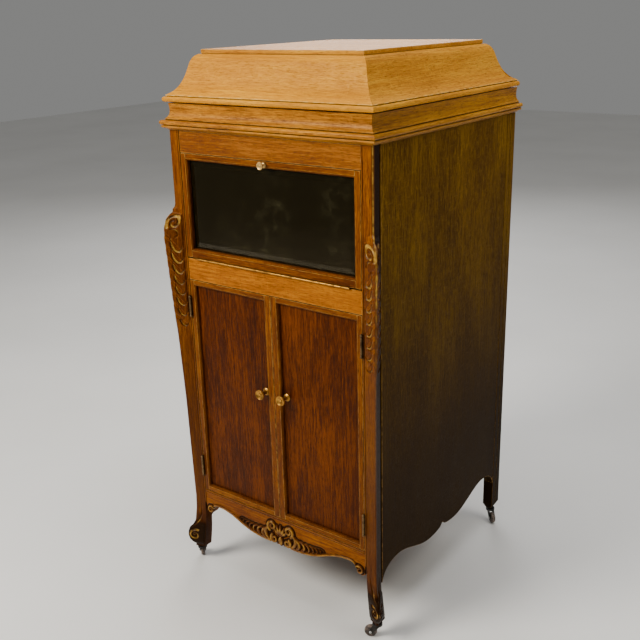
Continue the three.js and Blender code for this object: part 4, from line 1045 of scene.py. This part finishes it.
def frame_members(name, node, body, widths, stile, rail, lip=7.5, front=0.5, back=19.0):
    """Two stiles, two rails between them, and the moulding that runs round inside."""
    (x0, _, z0), (x1, _, z1) = cabinet_box(node)
    left, right, bottom, top = widths
    stick = 4.0
    seam = 0.12
    inner_x = (x0 + left - stick, x1 - right + stick)
    inner_z = (z0 + bottom - stick, z1 - top + stick)
    depth = (front, back)
    parts = {
        "left_stile": ((x0, inner_x[0]), (z0, z1), stile),
        "right_stile": ((inner_x[1], x1), (z0, z1), stile),
        "bottom_rail": ((inner_x[0] + seam, inner_x[1] - seam), (z0, inner_z[0]), rail),
        "top_rail": ((inner_x[0] + seam, inner_x[1] - seam), (inner_z[1], z1), rail),
    }
    for part, (x, z, finish) in parts.items():
        make_piece(f"{name}_{part}", block(x, depth, z), finish, body, node, bevel=0.9)
    moulding = sticking(inner_x, inner_z, stick, front, lip)
    make_piece(f"{name}_moulding", moulding, stile, body, node, sharp=40)


# A knob's outline: its foot as (share of the head's radius, millimetres from the door), then
# its stem and face as (share of the radius, share of the reach, share of the dish's depth).
KNOB_FOOT = [(0, 0), (0.74, 0), (0.78, 0.9), (0.66, 1.9), (0.62, 2.6), (0.44, 3.3)]
KNOB_HEAD = [(0.34, 0.32, 0), (0.32, 0.52, 0), (0.46, 0.66, 0), (0.86, 0.78, 0), (0.99, 0.87, 0),
             (1, 0.94, 0), (0.93, 1, 0), (0.84, 0.985, 0), (0.6, 0.985, 1), (0.3, 0.97, 1),
             (0.26, 0.99, 0.6), (0.14, 0.99, 0.4), (0, 0.99, 0.4)]
BUTT_HINGE_X = 226.2  # the faces that the side doors' hinges are let into
HINGE_TIP = [(0, 0), (1.6, 0.25), (2.9, 1.4), (3.3, 3.2), (2.8, 4.9), (1.6, 5.9), (2.2, 6.4),
             (2.7, 6.7)]


def door_knob(name, node, body, finish, dish):
    low, high = cabinet_box(node)
    at = ((low[0] + high[0]) / 2, high[1], (low[2] + high[2]) / 2)
    head, reach = (high[0] - low[0]) / 2, high[1] - low[1]
    profile = [(head * r, t) for r, t in KNOB_FOOT]
    profile += [(head * r, reach * t - dish * sink) for r, t, sink in KNOB_HEAD]
    knob = turned(rounded(profile), (0, -1, 0), at)
    make_piece(name, knob, finish, body, node, sharp=60)


def butt_hinge(name, node, body, side):
    low, high = cabinet_box(node)
    x, y = side * BUTT_HINGE_X, low[1] + 3.4
    z0, z1 = low[2], high[2]
    knuckle = (z1 - z0 - 13) / 3
    profile = list(HINGE_TIP)
    for k in range(1, 3):
        at = 6.5 + k * knuckle
        profile += [(2.7, at - 0.35), (2.1, at - 0.2), (2.1, at + 0.2), (2.7, at + 0.35)]
    profile += [(r, z1 - z0 - t) for r, t in reversed(HINGE_TIP)]
    barrel = turned(profile, (0, 0, 1), (x, y, z0), 24)
    leaf = block(sorted((side * (BUTT_HINGE_X - 0.7), x)), (y, 15), (z0 + 6.7, z1 - 6.7))
    make_piece(name, joined(barrel, leaf), BRONZE, body, node, sharp=40)


def long_hinge(name, node, body, pin, leaf, pitch=18.0):
    """A continuous hinge: a barrel of many knuckles and one leaf.

    pin is the barrel's y, z and radius, and leaf is the leaf's span in y and in z."""
    low, high = cabinet_box(node)
    y, z, radius = pin
    length = high[0] - low[0]
    count = int(round(length / pitch))
    step = length / count
    profile = [(0, 0), (radius * 0.9, 0), (radius, 0.3)]
    for k in range(1, count):
        at = k * step
        profile += [(radius, at - 0.3), (radius * 0.8, at - 0.15), (radius * 0.8, at + 0.15),
                    (radius, at + 0.3)]
    profile += [(radius, length - 0.3), (radius * 0.9, length), (0, length)]
    barrel = turned(profile, (1, 0, 0), (low[0], y, z), 18)
    plate = block((low[0], high[0]), *leaf)
    make_piece(name, joined(barrel, plate), BRASS, body, node, sharp=40)


def glass_pane():
    """A plate whose front edge is ground to a wide bevel."""
    low, high = cabinet_box("glass_pane")
    rim, bevel = 6.0, 13.0
    y0, y1 = low[1], high[1]
    section = [(0.0, y1), (0.0, y0 + 2.2), (rim, y0 + 2.2), (rim + bevel, y0 + 0.2),
               (rim + bevel + 0.3, y0 + 0.15)]
    plate = skin([rectangle((low[0] + inset, high[0] - inset), y, (low[2] + inset, high[2] - inset))
                  for inset, y in section])
    make_piece("glass_plate", plate, GLASS, "glass_door", "glass_pane", sharp=3)


def doors():
    for word, side in (("left", -1), ("right", 1)):
        body = f"{word}_door"
        outer, inner = 15.0, 18.5
        widths = (outer, inner, 14.5, 14.0) if side < 0 else (inner, outer, 14.5, 14.0)
        frame_members(body, f"{body}_frame", body, widths, FRAME_Z, FRAME_X)
        refine(f"{body}_panel", PANEL_Z, bevel=0.6)
        door_knob(f"{body}_pull", f"{body}_knob", body, BRASS, 2.6)
        for part in ("upper", "lower"):
            butt_hinge(f"{body}_{part}_butt", f"{body}_{part}_hinge", body, side)
    frame_members("glass_door", "glass_door_frame", "glass_door", (16.5, 16.5, 19.0, 14.5),
                  FRAME_Z, FRAME_X)
    glass_pane()
    door_knob("glass_door_pull", "glass_door_knob", "glass_door", PALE_BRASS, 0.8)
    pin = 1.8
    y, z = cabinet_box("glass_door_hinge")[0][1:] + pin
    long_hinge("glass_door_long_hinge", "glass_door_hinge", "glass_door", (y, z, pin),
               ((y, 16), (z + 0.5, z + 1.1)))
    pin = 3.0
    y, z = cabinet_box("lid_hinge")[1][1:] - pin
    long_hinge("lid_long_hinge", "lid_hinge", "case", (y, z, pin),
               ((DEPTH + 0.02, DEPTH + 1.4), (z - 26, z)), 25)
    for k, x in enumerate(np.linspace(-180, 180, 7)):
        at = (x, DEPTH + 1.5, z - 16)
        screw(f"lid_hinge_screw_{k}", at, (0, 1, 0), BRASS, "case", 3.0)


# ------------------------------------------------------------------ casters
RIVET_HEAD = [(0, 0), (3.0, 0), (3.2, 0.8), (2.2, 1.8), (0, 2.1)]
FORK_HALF = 7.0  # from the wheel's middle to the fork's outer face


def casters():
    for corner in ("front_left", "front_right", "back_left", "back_right"):
        joint, at = joint_named(f"{corner}_wheel_roll")
        axle = np.array(joint["axis"])
        radius, half = at[2], 4.5
        rim = [(2.4, -half), (5.2, -half - 0.3), (6.0, -half + 0.9), (8.8, -half + 1.0),
               (9.8, -half - 0.1), (radius - 1.6, -half), (radius - 0.5, -half + 1.2),
               (radius, -1.6)]
        rim += [(r, -t) for r, t in reversed(rim)] + [(2.4, -half)]
        make_piece(f"{corner}_wheel_tread", turned(rim, joint["axis"], at, 56), TREAD,
                   f"{corner}_wheel", f"{corner}_caster_wheel", sharp=50)
        refine(f"{corner}_caster_fork", IRON, bevel=0.5)
        for letter, way in (("a", -axle), ("b", axle)):
            rivet = turned(RIVET_HEAD, way, at + way * FORK_HALF, 20)
            make_piece(f"{corner}_rivet_{letter}", rivet, STEEL, f"{corner}_caster",
                       sharp=60)


# ------------------------------------------------------------------ horn
HORN_STATIONS = [  # y, centre x, centre z, half width, half height, corner radius
    (22, 0, 878.5, 205, 93, 10), (80, 8, 872, 160, 80, 14), (150, 30, 868, 118, 68, 20),
    (280, 86, 872, 62, 50, 24), (400, 129, 882, 24, 24, 24),
]


def horn():
    def ring(station, grow):
        y, cx, cz, half_x, half_z, corner = station
        points = []
        for quarter in range(4):
            sign_x = 1 if quarter in (0, 3) else -1
            sign_z = 1 if quarter < 2 else -1
            for step in range(9):
                angle = (quarter + step / 8) * math.pi / 2
                points.append((cx + sign_x * (half_x - corner) + (corner + grow) * math.cos(angle), y,
                               cz + sign_z * (half_z - corner) + (corner + grow) * math.sin(angle)))
        return points

    stations = smooth_path(HORN_STATIONS, 9)
    rings = [ring(s, 5.5) for s in stations] + [ring(s, 0) for s in reversed(stations)]
    make_piece("horn_flare", skin(rings, closed=True), HORN_Y, "case", "horn", sharp=45)
    refine("horn_throat", IRON, bevel=0.0, sharp=45)


# ------------------------------------------------------------------ deck and motor
DECK_SCREWS = [(-190, 60), (190, 60), (-190, 520), (190, 520), (0, 60), (0, 520)]


def deck():
    low, high = cabinet_box("turntable")
    cx, cy = (low[0] + high[0]) / 2, (low[1] + high[1]) / 2
    radius = (high[0] - low[0]) / 2
    z0, z1 = low[2] + 3, high[2]
    profile = [
        (3.9, z1 - 0.4), (3.9, z0 - 3), (17, z0 - 3), (19, z0 - 1), (22, z1 - 5),
        (radius - 7, z1 - 4.4), (radius - 5, z1 - 6), (radius - 4.6, z0), (radius - 1.2, z0),
        (radius - 0.2, z0 + 0.9), (radius - 0.9, z0 + 2.4), (radius - 0.9, z0 + 4.2),
        (radius, z0 + 5.4), (radius, z1 - 3), (radius - 0.8, z1 - 0.7), (radius - 2.4, z1),
        (radius - 3.6, z1 - 0.3), (radius - 3.8, z1 - 0.4), (3.9, z1 - 0.4),
    ]
    platter = turned(profile, (0, 0, 1), (cx, cy, 0), 96)
    make_piece("turntable_platter", platter, NICKEL, "turntable", "turntable", sharp=40)
    profile = [(4.6, z1 - 0.35), (radius - 4.2, z1 - 0.35), (radius - 3.9, z1 + 0.3),
               (radius - 4.6, z1 + 0.9), (5.4, z1 + 0.9), (4.6, z1 + 0.5), (4.6, z1 - 0.35)]
    pad = turned(profile, (0, 0, 1), (cx, cy, 0), 96)
    make_piece("turntable_felt", pad, FELT, "turntable", sharp=60)
    refine("turntable_spindle", STEEL, bevel=0.25)
    refine("brake_lever", NICKEL, bevel=0.5)
    refine("speed_lever", NICKEL, bevel=0.5)
    refine("motor_frame", IRON, bevel=0.8)
    for node in ("spring_barrel", "winding_wheel", "governor"):
        refine(node, BRASS, bevel=0.25)
    for k, (x, y) in enumerate(DECK_SCREWS):
        screw(f"deck_screw_{k}", (x, y, DECK_Z), (0, 0, 1), NICKEL, "case", 3.6)


CRANK_ARM_X = -289.0
CRANK_COLLAR_X = -262
CRANK_SHAFT_X = -250  # on the straight of the shaft, before it reaches the collar
SHAFT_RADIUS, BEND_RADIUS = 5.0, 11


def crank():
    _, at = joint_named("crank_turn")
    _, hand = joint_named("crank_handle_spin")
    low, high = cabinet_box("crank_handle")
    arm_x, bend = CRANK_ARM_X, BEND_RADIUS
    y, z = at[1], at[2]
    path = [(cabinet_box("crank")[1][0] - 4.5, y, z), (CRANK_SHAFT_X, y, z), (arm_x + bend, y, z)]
    path += curve([(arm_x + bend, y, z), (arm_x, y, z), (arm_x, y, z - bend)], 9)[1:]
    path += [(arm_x, y, z - bend), (arm_x, y, hand[2] + bend)]
    path += curve([(arm_x, y, hand[2] + bend), (arm_x, y, hand[2]), (arm_x - 6, y, hand[2])], 7)[1:]
    path += [(arm_x - 6, y, hand[2])]
    shaft = tube(path, [SHAFT_RADIUS] * len(path), 24)
    profile = [(0, 0), (7.2, 0), (7.6, 0.8), (7.6, 6.2), (7.2, 7), (0, 7)]
    collar = turned(profile, (-1, 0, 0), (CRANK_COLLAR_X, y, z), 32)
    pin_end = arm_x - low[0] - 5
    profile = [(0, -2), (3.2, -2), (3.2, pin_end), (0, pin_end)]
    pin = turned(profile, (-1, 0, 0), (arm_x, y, hand[2]), 20)
    make_piece("crank_arm", joined(shaft, collar, pin), NICKEL, "crank", "crank", sharp=50)

    # The handle turns on the pin: a wooden grip with a ferrule at its inner end.
    length, grip_end = high[0] - low[0], (low[0], y, hand[2])
    profile = [(0, 0), (5.5, 0.2), (9.2, 2.0), (11.6, 7), (11.3, 16), (12.2, 27), (13.0, 40),
               (12.6, 55), (11.2, 66), (9.6, length - 4), (9.4, length - 3.6),
               (4.0, length - 3.6), (4.0, length - 5), (0, length - 5)]
    grip = turned(rounded(profile), (1, 0, 0), grip_end, 40)
    make_piece("crank_grip", grip, EBONY, "crank_handle", "crank_handle", sharp=55)
    profile = [(3.7, length - 3.4), (9.9, length - 3.4), (10.1, length - 2.8), (9.4, length - 0.3),
               (8.8, length), (3.7, length), (3.7, length - 3.4)]
    ferrule = turned(profile, (1, 0, 0), grip_end, 40)
    make_piece("crank_ferrule", ferrule, NICKEL, "crank_handle", sharp=50)
    edge = -(HALF - POST_FACE + GAP)
    profile = [(6, 14), (9.1, 14), (9.1, 0), (16, 0), (17, -0.6), (16.6, -1.4), (14.5, -2.0),
               (11, -2.3), (9.2, -2.9), (7.4, -2.9), (6, -2.2), (6, 14)]
    plate = turned(profile, (1, 0, 0), (edge, y, z), 48)
    make_piece("crank_plate", plate, BRASS, "case", "crank_escutcheon", sharp=50)
    for k in range(3):
        turn = k * 2 * math.pi / 3 + math.pi / 2
        where = (edge - 1.7, y + 13 * math.cos(turn), z + 13 * math.sin(turn))
        screw(f"crank_plate_screw_{k}", where, (-1, 0, 0), BRASS, "case", 1.7)


SOUNDBOX = [(0, 14.6), (10.8, 14.6), (11.6, 15.2), (11.6, 16.6), (14, 17.2), (25.4, 18.2),
            (26.8, 19.2), (27, 21), (26.3, 22), (26.3, 24.6), (27, 25.6), (26.8, 28.2),
            (25.6, 29.2), (23.4, 30.4), (21.8, 30), (21.2, 28.2), (0, 28.2)]


def tonearm():
    _, pivot = joint_named("tonearm_swing")
    wrist, end = joint_named("soundbox_turn")
    across = -np.array(wrist["axis"])  # from the arm's end out through the sound box
    along = np.array([across[1], -across[0], 0])  # from the pivot towards the sound box
    level = end[2]
    length = float((end - pivot).dot(along)) - 4

    def at(forward, sideways, z):
        point = pivot + along * forward + across * sideways
        return np.array([point[0], point[1], z])

    stations = [  # forward, sideways, height, radius
        (0, 0, DECK_Z + 32, 20.6), (1, 0, level - 30, 20.4), (4, 0, level - 16, 20),
        (14, 0, level - 3, 19.2), (32, 0, level + 3, 18), (70, 0, level + 3.2, 16.2),
        (length / 2, 0, level + 1.5, 14), (length - 50, 0, level + 0.4, 11.4),
        (length - 14, 0, level, 10.4), (length - 3, 2.5, level, 10), (length + 3, 8, level, 10),
        (length + 4, 14.3, level, 10),
    ]
    line = smooth_path([(*at(a, b, z), r) for a, b, z, r in stations], 6)
    arm = tube(line[:, :3], line[:, 3], 36)
    foot = [(0, DECK_Z + 17.4), (27.2, DECK_Z + 17.4), (28, DECK_Z + 18.4), (28, DECK_Z + 20.5),
            (26.4, DECK_Z + 21.6), (26.4, DECK_Z + 23.4), (27.2, DECK_Z + 24.6), (26, DECK_Z + 27),
            (22.6, DECK_Z + 29.4), (21.4, DECK_Z + 33), (20.4, DECK_Z + 34), (0, DECK_Z + 34)]
    pedestal = turned(foot, (0, 0, 1), (pivot[0], pivot[1], 0), 64)
    bands = []
    for forward in (46, length - 34):
        k = int(np.argmin(np.abs((line[:, :3] - pivot) @ along - forward)))
        r = line[k, 3]
        band = [(r - 0.6, -3), (r + 0.8, -2.7), (r + 1.3, 0), (r + 0.8, 2.7), (r - 0.6, 3)]
        bands.append(turned(band + band[:1], along, line[k, :3], 48))
    make_piece("tonearm_tube", joined(arm, pedestal, *bands), NICKEL, "tonearm",
               "tonearm", sharp=50)

    # The sound box hangs across the arm's end, with the needle below its rim.
    up = np.array([0, 0, 1])
    centre = at(length + 4, 0, level)
    chuck = centre + across * 23 - up * 31.5
    box = turned(SOUNDBOX, across, centre, 72)
    holder = turned([(0, 0), (2.6, 0), (3.0, 1.2), (3.0, 6.5), (2.2, 8)], up, chuck, 20)
    thumb = [(0, 0), (1.3, 0), (1.3, 4.2), (3.2, 4.4), (3.4, 6.0), (0, 6.4)]
    thumb_screw = turned(thumb, across, chuck + up * 3.5, 20)
    needle = tube([chuck + up * 2, chuck + along * 2.2 - up * 2.2], [0.8, 0.35], 10)
    lever = tube([chuck + up * 5 + across * 1.5, chuck + across * 6.6 + up * 12,
                  centre + across * 29.2], [1.0, 0.9, 0.7], 10)
    make_piece("soundbox_shell", joined(box, holder, thumb_screw, needle, lever), NICKEL,
               "soundbox", "soundbox", sharp=40)
    disc = turned([(0, 28.2), (21.0, 28.2), (21.0, 28.7), (0, 28.7)], across, centre, 48)
    make_piece("soundbox_diaphragm", disc, MICA, "soundbox", sharp=50)
    collar = [(30.6, 0), (41, 0), (42, 0.8), (41.4, 2.6), (38, 3.6), (33, 4.0), (30.6, 3.6),
              (30.6, 0)]
    seat = turned(collar, (0, 0, 1), (pivot[0], pivot[1], DECK_Z + GAP), 64)
    make_piece("tonearm_seat_ring", seat, NICKEL, "case", sharp=50)


# ------------------------------------------------------------------ studio
EYE = (1128.9, -1308.9, 1262.8)  # in cabinet millimetres
YAW, PITCH, ROLL = (math.radians(a) for a in (37.44, 19.23, -1.57))
LENS, SENSOR = 50.346, 36.0
FLOOR_HALF = 9.0


def camera():
    back = Vector((math.sin(YAW) * math.cos(PITCH), -math.cos(YAW) * math.cos(PITCH),
                   math.sin(PITCH)))
    right = (-back).cross(Vector((0, 0, 1))).normalized()
    up = back.cross(right)
    turned_right = right * math.cos(ROLL) + up * math.sin(ROLL)
    turned_up = up * math.cos(ROLL) - right * math.sin(ROLL)
    data = bpy.data.cameras.new("camera")
    data.sensor_width = SENSOR
    data.lens = LENS
    data.clip_start, data.clip_end = 0.05, 60
    eye = bpy.data.objects.new("camera", data)
    place = Matrix((turned_right, turned_up, back)).transposed().to_4x4()
    place.translation = Vector(np.array(EYE) * MM + ORIGIN)
    eye.matrix_world = place
    bpy.context.scene.collection.objects.link(eye)
    bpy.context.scene.camera = eye


def area_light(name, at, target, size, power, tint=(1, 1, 1)):
    data = bpy.data.lights.new(name, "AREA")
    data.shape, data.size, data.energy, data.color = "DISK", size, power, tint
    lamp = bpy.data.objects.new(name, data)
    lamp.location = at
    lamp.rotation_euler = (Vector(target) - Vector(at)).to_track_quat("-Z", "Y").to_euler()
    bpy.context.scene.collection.objects.link(lamp)


def studio():
    f = Finish("pale_floor")
    where = f.place()
    cloud = f.noise(where, 1.4, detail=4)
    tint = f.ramp(cloud, [(0.3, (0.80, 0.79, 0.77)), (0.7, (0.86, 0.85, 0.83))])
    grain = f.noise(where, 260, detail=2)
    finish = f.surface(Base_Color=tint, Roughness=0.6, Normal=f.bump(grain, 0.05, 0.0005))
    mesh = bpy.data.meshes.new("floor")
    corners = [(x * FLOOR_HALF, y * FLOOR_HALF, 0) for x, y in ((-1, -1), (1, -1), (1, 1), (-1, 1))]
    mesh.from_pydata(corners, [], [(0, 1, 2, 3)])
    mesh.materials.append(finish)
    floor = bpy.data.objects.new("floor", mesh)
    bpy.context.scene.collection.objects.link(floor)

    world = bpy.data.worlds.new("studio")
    bpy.context.scene.world = world
    world.use_nodes = True
    sky = world.node_tree.nodes["Background"].inputs
    sky["Color"].default_value = (0.95, 0.95, 0.93, 1)
    sky["Strength"].default_value = 0.24
    aim = (0.05, -0.1, 0.7)
    area_light("key", (-1.0, -2.1, 2.25), aim, 1.3, 92, (1.0, 0.95, 0.86))
    area_light("overhead", (0.2, 0.3, 3.2), aim, 2.2, 50)
    area_light("right_fill", (1.8, 0.3, 2.2), (0.3, 0.0, 1.0), 1.1, 15, (1.0, 0.96, 0.88))
    area_light("back_light", (-2.0, 3.0, 2.3), aim, 2.0, 40)


case_boards()
mouldings()
doors()
casters()
horn()
deck()
crank()
tonearm()
camera()
studio()
